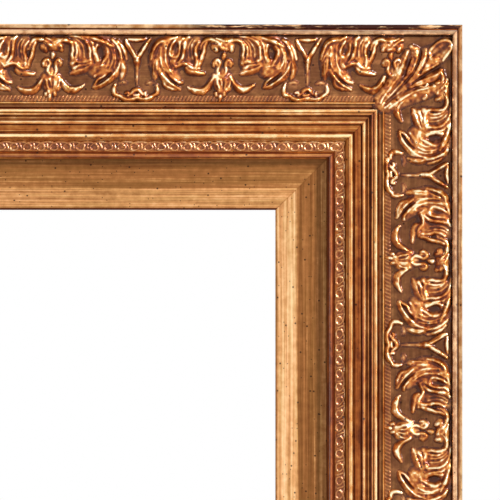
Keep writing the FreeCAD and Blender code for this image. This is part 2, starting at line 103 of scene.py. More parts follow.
WIDTH = sum(member[1] for member in MEMBERS)
FRIEZE_START = sum(member[1] for member in MEMBERS[:FRIEZE])
FRIEZE_WIDTH = MEMBERS[FRIEZE][1]
FRIEZE_END = FRIEZE_START + FRIEZE_WIDTH
CHAIN_START = sum(member[1] for member in MEMBERS[:CHAIN_BED])
LINER_START = WIDTH - REBATE + 0.5
LINER_END = LINER_START + 32.25
LINER_ARRIS = LINER_END - 10.8

# Ornament along the legs, as on the solids, and half a repeat in the photograph's pixels
REPEAT = 87.7
CORNER_TO_STEM = {"top": 79.8, "bottom": 79.8, "left": 77.2, "right": 77.2}
HALF_PX = 84.2


def frieze_level(u):
    """Height of the sloping frieze at a distance from the outer edge."""
    fall = (MEMBERS[FRIEZE][2] - MEMBERS[FRIEZE][3]) / FRIEZE_WIDTH
    return MEMBERS[FRIEZE][2] - (u - FRIEZE_START) * fall


def metres(x, y, z):
    """Places in metres from arrays in millimetres."""
    return np.stack(np.broadcast_arrays(x, y, z), axis=-1) * MM


def on_leg(leg, along, u, v):
    """Places of points along a leg, a distance in from the outer edge, and a height up."""
    turn, reach, _ = LEGS[leg]
    cos, sin = math.cos(math.radians(turn)), math.sin(math.radians(turn))
    out = reach - u
    return metres(along * cos + out * sin, -v, -along * sin + out * cos + MIDDLE_Z)


def srgb(red, green, blue):
    """A linear colour from the 0 to 255 values of a screen colour."""
    def linear(value):
        value /= 255
        return value / 12.92 if value <= 0.04045 else ((value + 0.055) / 1.055) ** 2.4
    return (linear(red), linear(green), linear(blue), 1)


def smooth_noise(shape, cells, seed):
    """Smooth random field of a 2-D shape, about cells features long on each axis."""
    knots = np.random.default_rng(seed).normal(size=(cells[0] + 3, cells[1] + 3))

    def blend(axis):
        count = np.linspace(0, cells[axis] + 1, shape[axis])
        base = np.floor(count).astype(int)
        part = count - base
        return base, part * part * (3 - 2 * part)
    row, down = blend(0)
    column, across = blend(1)
    down = down[:, None]
    near = knots[np.ix_(row, column)] * (1 - across) + knots[np.ix_(row, column + 1)] * across
    far = knots[np.ix_(row + 1, column)] * (1 - across) + knots[np.ix_(row + 1, column + 1)] * across
    return near * (1 - down) + far * down


def blurred(field, sigma):
    """A field blurred by a Gaussian of a width given in cells."""
    reach = max(int(3 * sigma), 1)
    kernel = np.exp(-0.5 * (np.arange(-reach, reach + 1) / sigma) ** 2)
    kernel /= kernel.sum()
    for axis in range(field.ndim):
        pad = [(0, 0)] * field.ndim
        pad[axis] = (reach, reach)
        padded = np.pad(field, pad, mode="edge")
        field = np.apply_along_axis(lambda row: np.convolve(row, kernel, "valid"), axis, padded)
    return field


def add_mesh(name, points, faces, materials, body, replaces, flat_angle,
             attributes=None, maps=None, indices=None):
    """A mesh piece from arrays, riding on a body and standing for CAD nodes."""
    mesh = bpy.data.meshes.new(name)
    points = np.asarray(points, np.float32).reshape(-1, 3)
    sizes = np.array([len(face) for face in faces], np.int32)
    corners = np.concatenate(list(faces)).astype(np.int32)
    starts = np.concatenate([[0], np.cumsum(sizes)[:-1]]).astype(np.int32)
    mesh.vertices.add(len(points))
    mesh.vertices.foreach_set("co", points.ravel())
    mesh.loops.add(len(corners))
    mesh.loops.foreach_set("vertex_index", corners)
    mesh.polygons.add(len(sizes))
    mesh.polygons.foreach_set("loop_start", starts)
    mesh.polygons.foreach_set("loop_total", sizes)
    for material in materials:
        mesh.materials.append(material)
    if indices is not None:
        mesh.polygons.foreach_set("material_index", np.asarray(indices, np.int32))
    mesh.polygons.foreach_set("use_smooth", np.ones(len(sizes), bool))
    mesh.update(calc_edges=True)
    if flat_angle:
        mesh.set_sharp_from_angle(angle=math.radians(flat_angle))
    for key, values in (attributes or {}).items():
        layer = mesh.attributes.new(key, "FLOAT", "POINT")
        layer.data.foreach_set("value", np.asarray(values, np.float32).ravel())
    for key, values in (maps or {}).items():
        layer = mesh.uv_layers.new(name=key)
        places = np.asarray(values, np.float32).reshape(-1, 2)[corners]
        layer.data.foreach_set("uv", places.ravel())
    piece = bpy.data.objects.new(name, mesh)
    bpy.context.scene.collection.objects.link(piece)
    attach(piece, body)
    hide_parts(*replaces)


def lofted(rings, closed=False):
    """Points and outward faces of a skin over rings of equal count, capped unless closed."""
    rings = np.array(rings, float)
    rows, count = rings.shape[:2]
    points = rings.reshape(-1, 3)
    index = np.arange(rows * count).reshape(rows, count)
    upper = np.roll(index, -1, axis=0) if closed else index[1:]
    lower = index if closed else index[:-1]
    quads = np.stack([lower, np.roll(lower, -1, axis=1), np.roll(upper, -1, axis=1), upper], axis=-1)
    faces = list(quads.reshape(-1, 4))
    if not closed:
        faces += [index[0][::-1], index[-1]]
    first, second, third = np.concatenate([[(face[0], face[i], face[i + 1]) for i in range(1, len(face) - 1)]
                                           for face in faces]).T
    volume = (points[first] * np.cross(points[second], points[third])).sum()
    return points, faces if volume > 0 else [face[::-1] for face in faces]


def gathered(parts):
    """One set of points and faces from several."""
    points, faces, shift = [], [], 0
    for part_points, part_faces in parts:
        points.append(part_points)
        faces += [face + shift for face in part_faces]
        shift += len(part_points)
    return np.vstack(points), faces


def grid_quads(rows, columns):
    """Quads over a grid of points."""
    index = np.arange(rows * columns).reshape(rows, columns)
    return np.stack([index[:-1, :-1], index[:-1, 1:], index[1:, 1:], index[1:, :-1]],
                    axis=-1).reshape(-1, 4)


def paired(first, second):
    """Rows of two values, from arrays that spread over one grid."""
    return np.stack(np.broadcast_arrays(first, second), axis=-1).reshape(-1, 2)


def bake_shares(spots):
    """Places in a square a little inside the unit square, for a piece's bake map."""
    low, high = spots.min(axis=0), spots.max(axis=0)
    return (spots - low) / (high - low) * 0.996 + 0.002


# Materials


class Nodes:
    """A small helper to build a material's or the world's node tree."""

    def __init__(self, owner, shader="Principled BSDF"):
        self.owner = owner
        owner.use_nodes = True
        self.tree = owner.node_tree
        self.shader = self.tree.nodes[shader]

    def add(self, kind, inputs=None, **settings):
        node = self.tree.nodes.new(kind)
        for key, value in settings.items():
            setattr(node, key, value)
        for key, value in (inputs or {}).items():
            self.put(node.inputs[key], value)
        return node

    def put(self, socket, value):
        if isinstance(value, bpy.types.NodeSocket):
            self.tree.links.new(value, socket)
        else:
            socket.default_value = value

    def math(self, operation, a, b=0.0, clamp=False):
        node = self.add("ShaderNodeMath", {0: a, 1: b}, operation=operation, use_clamp=clamp)
        return node.outputs[0]

    def swing(self, value, reach):
        """A value's departure from one half, scaled."""
        return self.math("MULTIPLY", self.math("SUBTRACT", value, 0.5), reach)

    def surface(self, values):
        for key, value in values.items():
            self.put(self.shader.inputs[key], value)

    def bump(self, strength, distance, height):
        node = self.add("ShaderNodeBump", {"Strength": strength, "Distance": distance,
                                           "Height": height})
        self.put(self.shader.inputs["Normal"], node.outputs[0])

    def leg_place(self):
        return self.add("ShaderNodeUVMap", uv_map="leg").outputs[0]

    def place(self):
        return self.add("ShaderNodeTexCoord").outputs["Object"]

    def attribute(self, name):
        return self.add("ShaderNodeAttribute", attribute_name=name).outputs["Fac"]

    def ramp(self, factor, stops):
        node = self.add("ShaderNodeValToRGB", {0: factor})
        elements = node.color_ramp.elements
        while len(elements) < len(stops):
            elements.new(0.5)
        for element, (place, colour) in zip(elements, stops):
            element.position = place
            element.color = colour
        return node.outputs[0]

    def mix(self, factor, a, b, blend="MIX"):
        node = self.add("ShaderNodeMix", data_type="RGBA", blend_type=blend)
        self.put(node.inputs[0], factor)
        self.put(node.inputs[6], a)
        self.put(node.inputs[7], b)
        return node.outputs[2]

    def noise(self, vector, scale, detail=2.0, rough=0.5, size=(1, 1, 1)):
        mapped = self.add("ShaderNodeMapping", {0: vector, 3: size})
        node = self.add("ShaderNodeTexNoise", {0: mapped.outputs[0], "Scale": scale,
                                               "Detail": detail, "Roughness": rough})
        return node.outputs[0]

    def spread(self, value, low, high, start=0.0, end=1.0):
        node = self.add("ShaderNodeMapRange", {0: value, 1: low, 2: high, 3: start, 4: end})
        return node.outputs[0]


def new_material(name):
    return Nodes(bpy.data.materials.new(name))


def specks(build, vector, kinds, strength, colour, dark):
    """Colour with small dark fly specks, in kinds of scale, size and share of cells."""
    masks = []
    for scale, size, share in kinds:
        cells = build.add("ShaderNodeTexVoronoi", {"Vector": vector, "Scale": scale},
                          voronoi_dimensions="2D")
        inside = build.spread(cells.outputs["Distance"], size * 0.6, size, 1.0, 0.0)
        chosen = build.add("ShaderNodeSeparateColor", {0: cells.outputs["Color"]}).outputs[0]
        masks.append(build.math("MULTIPLY", inside, build.math("LESS_THAN", chosen, share)))
    spots = build.math("MULTIPLY", build.math("MAXIMUM", *masks), strength)
    return build.mix(spots, colour, dark)


GOLD_STOPS = ((0.0, srgb(92, 34, 6)), (0.28, srgb(154, 76, 20)), (0.5, srgb(186, 114, 48)),
              (0.7, srgb(216, 152, 84)), (0.95, srgb(250, 220, 168)))
RUBBED_STOPS = ((0.0, srgb(96, 34, 8)), (0.28, srgb(154, 74, 22)), (0.5, srgb(190, 112, 46)),
                (0.7, srgb(220, 154, 84)), (0.9, srgb(255, 236, 198)))
BRONZE_STOPS = ((0.0, srgb(58, 28, 14)), (0.3, srgb(94, 54, 32)), (0.52, srgb(122, 77, 48)),
                (0.75, srgb(168, 112, 70)), (0.95, srgb(238, 186, 140)))
SATIN_STOPS = ((0.0, srgb(84, 34, 8)), (0.3, srgb(120, 74, 34)), (0.5, srgb(146, 94, 50)),
               (0.75, srgb(210, 152, 97)), (1.0, srgb(250, 208, 160)))
GILT_SPECULAR = 0.2
FINE_RELIEF = 0.0002


def gilt(name, gold_stops, metallic, roughness, streak, bump, varnish):
    """Toned gold: colour follows the tone attribute from recess to rubbed ridge, which carries painted shade
    in recesses and painted highlights on ridges as well as the gold's own toning.
    """
    build = new_material(name)
    place, along = build.place(), build.leg_place()
    tone, tint, wear = (build.attribute(key) for key in ("tone", "bronze", "wear"))
    streaks = build.noise(along, 1.0, 4, 0.65, (14, 900, 1))
    streaked = build.swing(streaks, build.spread(tint, 0.0, 1.0, streak, streak * 0.2))
    mottled = build.swing(build.noise(place, 190, 4, 0.6), 0.85)
    clouded = build.swing(build.noise(place, 22, 3, 0.55), 0.3)
    shift = build.math("ADD", build.math("ADD", mottled, streaked), clouded)
    toned = build.math("ADD", tone, shift, clamp=True)
    colour = build.mix(tint, build.ramp(toned, gold_stops), build.ramp(toned, BRONZE_STOPS))
    worn_spots = build.spread(build.noise(along, 1.0, 4, 0.7, (60, 500, 1)), 0.40, 0.50)
    worn = build.math("MULTIPLY", wear, worn_spots, clamp=True)
    colour = build.mix(worn, colour, srgb(62, 30, 24))
    colour = specks(build, along, ((120, 0.085, 0.16), (330, 0.13, 0.06)), 0.85, colour,
                    srgb(40, 16, 10))
    olive = build.spread(build.noise(along, 1.0, 3, 0.6, (40, 420, 1)), 0.42, 0.62, 0.0, 0.5)
    colour = build.mix(olive, colour, (0.82, 0.92, 0.80, 1), "MULTIPLY")
    rough = build.spread(toned, 0.1, 0.9, roughness + 0.14, roughness - 0.06)
    build.surface({"Base Color": colour, "Metallic": metallic, "Roughness": rough,
                   "Specular IOR Level": GILT_SPECULAR, "Coat Weight": varnish,
                   "Coat Roughness": 0.2})
    fine = build.noise(place, 900, 2, 0.5)
    build.bump(bump, FINE_RELIEF, build.math("ADD", build.math("MULTIPLY", fine, 0.5), streaks))
    return build.owner


def liner_gilt():
    """Satin gold of the liner: streaked panel, brighter bevel, dark specks."""
    build = new_material("gilt_liner_satin")
    place, along = build.place(), build.leg_place()
    streaks = build.noise(along, 1.0, 5, 0.7, (9, 750, 1))
    shift = build.math("ADD", build.swing(streaks, 1.1),
                       build.swing(build.noise(along, 1.0, 2, 0.5, (3, 160, 1)), 0.5))
    shift = build.math("ADD", shift, build.swing(build.noise(place, 260, 4, 0.6), 0.4))
    toned = build.math("ADD", build.attribute("tone"), shift, clamp=True)
    olive = build.spread(build.noise(along, 1.0, 3, 0.6, (14, 260, 1)), 0.44, 0.6, 0.0, 0.45)
    colour = build.mix(olive, build.ramp(toned, SATIN_STOPS), (0.80, 0.93, 0.80, 1), "MULTIPLY")
    colour = specks(build, along, ((150, 0.09, 0.30), (420, 0.15, 0.08)), 0.9, colour,
                    srgb(40, 18, 8))
    build.surface({"Base Color": colour, "Metallic": 0.5, "Specular IOR Level": GILT_SPECULAR,
                   "Roughness": build.spread(streaks, 0.3, 0.7, 0.34, 0.46)})
    build.bump(0.3, FINE_RELIEF, streaks)
    return build.owner


def bare_wood():
    """Unfinished wood of the back and the rebates, with grain along the leg."""
    build = new_material("bare_wood")
    along = build.leg_place()
    warp = build.noise(along, 1.0, 3, 0.6, (2.5, 45, 1))
    grain = build.noise(along, 1.0, 6, 0.7, (6, 900, 1))
    rings = build.math("FRACT", build.math("MULTIPLY", warp, 7.0))
    value = build.math("ADD", build.math("MULTIPLY", grain, 0.6), build.math("MULTIPLY", rings, 0.4))
    colour = build.ramp(value, ((0.15, srgb(150, 106, 66)), (0.45, srgb(190, 148, 102)),
                                (0.8, srgb(212, 176, 130))))
    dirt = build.spread(build.noise(build.place(), 14, 4, 0.6), 0.5, 0.75, 0.0, 0.35)
    build.surface({"Base Color": build.mix(dirt, colour, srgb(112, 82, 56)), "Roughness": 0.72})
    build.bump(0.3, 0.0003, grain)
    return build.owner


def metal(name, light, dark, roughness):
    """Dulled metal with fine scratches and stains."""
    build = new_material(name)
    place = build.place()
    stain = build.noise(place, 300, 4, 0.6)
    scratch = build.noise(place, 1.0, 3, 0.6, (4000, 300, 700))
    rough = build.spread(build.math("ADD", stain, scratch), 0.7, 1.3, roughness - 0.08,
                         roughness + 0.12)
    build.surface({"Base Color": build.mix(build.spread(stain, 0.4, 0.7), light, dark),
                   "Metallic": 1.0, "Roughness": rough})
    build.bump(0.15, 0.0001, scratch)
    return build.owner


def rubber():
    """Dull dark rubber with a fine grain."""
    build = new_material("bumper_rubber_dull")
    place = build.place()
    dust = build.spread(build.noise(place, 120, 3, 0.6), 0.45, 0.75)
    build.surface({"Base Color": build.mix(dust, srgb(34, 32, 30), srgb(82, 76, 70)),
                   "Roughness": 0.7})
    build.bump(0.3, 0.0001, build.noise(place, 1500, 3, 0.6))
    return build.owner


moulding_gilt = gilt("gilt_moulding_toned", GOLD_STOPS, 0.6, 0.36, 2.0, 0.35, 0.0)
bead_gilt = gilt("gilt_bead_burnished", GOLD_STOPS, 0.6, 0.26, 1.6, 0.35, 0.9)
ornament_gilt = gilt("gilt_ornament_rubbed", RUBBED_STOPS, 0.5, 0.26, 0.0, 0.3, 0.45)
liner_gold = liner_gilt()
wood = bare_wood()
brass = metal("brass_dulled", srgb(206, 172, 98), srgb(150, 112, 56), 0.34)
steel = metal("steel_dulled", srgb(176, 176, 180), srgb(120, 118, 118), 0.38)
rubber_dull = rubber()

# Mouldings. Faces are numbered as the materials of a moulding are listed
GILT_FACE, WOOD_FACE, BEAD_FACE = 0, 1, 2
BEAD_STEPS, COVE_STEPS = 16, 8
SHARP_TURN = math.radians(18)
EDGE_RADIUS = 0.18
# Millimetres from a mitre to its stations, and the count of stations between both ends
MITRE_STATIONS, LEG_START, LEG_STATIONS = (0, 0.4, 0.9, 2.0), 5.0, 116
SEAM_WIDTH = 0.35


def eased(corners, radius):
    """A section's corners, each cut back and rounded by a small radius."""
    rounded = []
    count = len(corners)
    for i in range(count):
        before, here, after = (np.array(corners[j % count][:2]) for j in (i - 1, i, i + 1))
        extra = corners[i][2:]
        into, away = here - before, after - here
        reach_in, reach_out = np.hypot(*into), np.hypot(*away)
        turn = abs(math.atan2(into[0] * away[1] - into[1] * away[0], into @ away))
        if turn < SHARP_TURN:
            rounded.append((*here, *extra))
            continue
        cut = min(radius, 0.4 * reach_in, 0.4 * reach_out)
        start, end = here - into / reach_in * cut, here + away / reach_out * cut
        for t in (0.0, 0.33, 0.67, 1.0):
            spot = start * (1 - t) ** 2 + here * 2 * t * (1 - t) + end * t ** 2
            rounded.append((*spot, *extra))
    return rounded


def moulding_outline():
    """Closed section of the outer moulding: u, v, bronze tint, tone, face and wear."""
    corners, u = [], 0.0
    for number, (kind, width, level, end, bronze, shift) in enumerate(MEMBERS):
        wear = 1.0 if number == 0 else 0.35 if number == RIM_BEAD else 0.0
        # Painted light on the beads: the outer flank lighter, the inner flank darker and the crown lighter,
        # standing for the key light's highlight and shade
        painted_light_lean = 0.06 if number == RIM_BEAD else 0.24
        if kind == "bead":
            for step in range(BEAD_STEPS + 1):
                turn = math.pi * step / BEAD_STEPS
                painted_bead_light = painted_light_lean * math.cos(turn) + 0.14 * math.sin(turn)
                corners.append((u + width / 2 * (1 - math.cos(turn)), level + end * math.sin(turn),
                                bronze, shift + painted_bead_light, BEAD_FACE, wear))
        else:
            corners.append((u, level, bronze, shift, GILT_FACE, wear))
            corners.append((u + width, end, bronze, shift, GILT_FACE, wear))
        u += width
    wall = WIDTH - REBATE
    for corner in ((WIDTH, LIP_LEVEL), (wall, LIP_LEVEL), (wall, 0.0),
                   (SIDE_INSET + BACK_CHAMFER, 0.0)):
        corners.append((*corner, 1.0, -0.1, WOOD_FACE, 0.0))
    foot = MEMBERS[0][2] - SIDE_BAND
    cove_foot = foot - SIDE_COVE
    corners.append((SIDE_INSET, BACK_CHAMFER, 1.0, -0.1, GILT_FACE, 0.2))
    for step in range(COVE_STEPS + 1):
        turn = math.pi / 2 * step / COVE_STEPS
        corners.append((SIDE_INSET * math.cos(turn), cove_foot + SIDE_COVE * math.sin(turn),
                        1.0, -0.1, GILT_FACE, 0.3))
    corners.append((0.0, foot + 0.01, 1.0, 0.0, GILT_FACE, 0.6))
    return corners


def liner_outline():
    """Closed section of the liner, with the same columns as the moulding's."""
    # Tones of the gilded corners: painted shadow on the panel next to the moulding, a painted highlight on
    # the arris, a lighter bevel that is partly burnished leaf and partly painted reflection, and painted
    # shade on the sight edge's last millimetre and its lip
    gilded = ((LINER_START, LIP_LEVEL, -0.12), (LINER_START + 12, LIP_LEVEL, -0.04),
              (LINER_ARRIS - 0.5, LIP_LEVEL, 0.0), (LINER_ARRIS, LIP_LEVEL, 0.16),
              (LINER_ARRIS + 0.4, 19.24, 0.2), (LINER_END - 1.1, 13.21, 0.2),
              (LINER_END - 1.0, 13.15, -0.55), (LINER_END, 12.5, -0.6), (LINER_END, 10.5, -0.5))
    bare = ((LINER_END - 6.0, 10.5), (LINER_END - 6.0, LINER_BACK), (LINER_START, LINER_BACK))
    corners = [(u, v, 0.0, tone, GILT_FACE, 0.0) for u, v, tone in gilded]
    return corners + [(u, v, 0.0, 0.0, WOOD_FACE, 0.0) for u, v in bare]


def resampled(outline, step):
    """A closed outline with long sides divided, so that lengths stay under a step."""
    points = []
    for here, after in zip(outline, outline[1:] + outline[:1]):
        here, after = np.array(here), np.array(after)
        longest = step * 6 if here[4] == WOOD_FACE else step
        parts = max(math.ceil(np.hypot(*(after - here)[:2]) / longest), 1)
        for part in range(parts):
            spot = here + (after - here) * part / parts
            spot[2:] = here[2:]
            points.append(spot)
    return np.array(points)


def cavity(points, front):
    """How proud each front point of a section stands over its surroundings, in mm."""
    step = 0.1
    grid = np.arange(0, LINER_END, step)
    level = np.zeros_like(grid)
    order = points[front]
    for start, end in zip(order[:-1], order[1:]):
        if end[0] <= start[0]:
            continue
        inside = (grid >= start[0]) & (grid <= end[0])
        part = (grid[inside] - start[0]) / (end[0] - start[0])
        level[inside] = start[1] + (end[1] - start[1]) * part
    filled = level > 0
    level[~filled] = level[filled].min()
    proud = (level - blurred(level, 8)) * 0.22 + (level - blurred(level, 22)) * 0.06
    return np.interp(points[:, 0], grid, proud)


# Painted light and shade for the right leg, by distance in: tone added to the right leg's gilding over the
# others', lighter where positive and darker where negative, following how the key light falls on that leg
RIGHT_PAINTED_LIGHT_AND_SHADE = ((0, -0.07), (FRIEZE_START, -0.1), (FRIEZE_START + 0.1, 0), (FRIEZE_END + 1, 0),
               (FRIEZE_END + 2, -0.05), (CHAIN_START - 7, -0.15), (CHAIN_START, -0.17),
               (WIDTH, -0.16), (WIDTH + 0.1, 0.25), (WIDTH + 8, -0.1), (LINER_ARRIS, -0.09),
               (LINER_ARRIS + 1, 0.1), (LINER_END - 1.05, 0.1), (LINER_END - 1.0, 0.7))


def swept(name, outline, leg, materials, replaces, seed, waver, seam, step=0.45):
    """A mitred moulding with a slightly uneven hand-made surface."""
    section = resampled(eased(outline, EDGE_RADIUS), step)
    length = LEGS[leg][2]
    half = length / 2 - section[:, 0]
    ends = np.array(MITRE_STATIONS) * 2 / length
    reach = 1 - LEG_START * 2 / length
    share = np.concatenate([ends - 1, np.linspace(-reach, reach, LEG_STATIONS), (1 - ends)[::-1]])
    share = share[:, None]
    along = share * half
    front = section[:, 4] != WOOD_FACE
    bumps = smooth_noise(along.shape, (70, 26), seed) * waver
    bumps += smooth_noise(along.shape, (18, 40), seed + 1) * waver
    fade = np.minimum(1, (1 - np.abs(share)) * 30)
    level = np.minimum(section[:, 1] + bumps * fade * front, RIM_TOP)
    points, faces = lofted(on_leg(leg, along, section[:, 0], level))
    kinds = np.append(np.tile(section[:, 4].astype(int), len(share) - 1), [WOOD_FACE, WOOD_FACE])
    # Painted highlight on proud members and painted shade in recesses, from how proud each point stands,
    # partly the gold's toning wash
    proud = cavity(section, np.where(front & (section[:, 1] > 12))[0])
    tone = 0.5 + section[:, 3] + np.clip(proud, -0.3, 0.3)
    # Painted light and shade on the right leg
    if leg == "right":
        tone = tone + np.interp(section[:, 0], *np.transpose(RIGHT_PAINTED_LIGHT_AND_SHADE))
    tone = tone - seam * np.exp(-((half - np.abs(along)) / SEAM_WIDTH) ** 2)
    bronze = np.tile(section[:, 2], (len(share), 1))
    rubbed = 0.25 + 1.2 * np.clip((along - 200) / 20, 0, 1) if leg == "top" else 0.4
    wear = section[:, 5] * (rubbed + 0 * along)
    around = np.concatenate([[0], np.cumsum(np.hypot(*np.diff(section[:, :2], axis=0).T))])
    add_mesh(name, points, faces, materials, "frame", replaces, 35,
             {"tone": tone, "bronze": bronze, "wear": wear},
             {"OFBake": bake_shares(paired(share, around)), "leg": paired(along * MM, around * MM)},
             kinds)


for number, leg in enumerate(LEGS):
    swept("moulding_" + leg, moulding_outline(), leg, [moulding_gilt, wood, bead_gilt],
          ["rail_" + leg], 100 + number * 10, 0.035, 0.25)
    swept("liner_profile_" + leg, liner_outline(), leg, [liner_gold, wood],
          ["liner_" + leg], 200 + number * 10, 0.02, 0.12, 0.8)

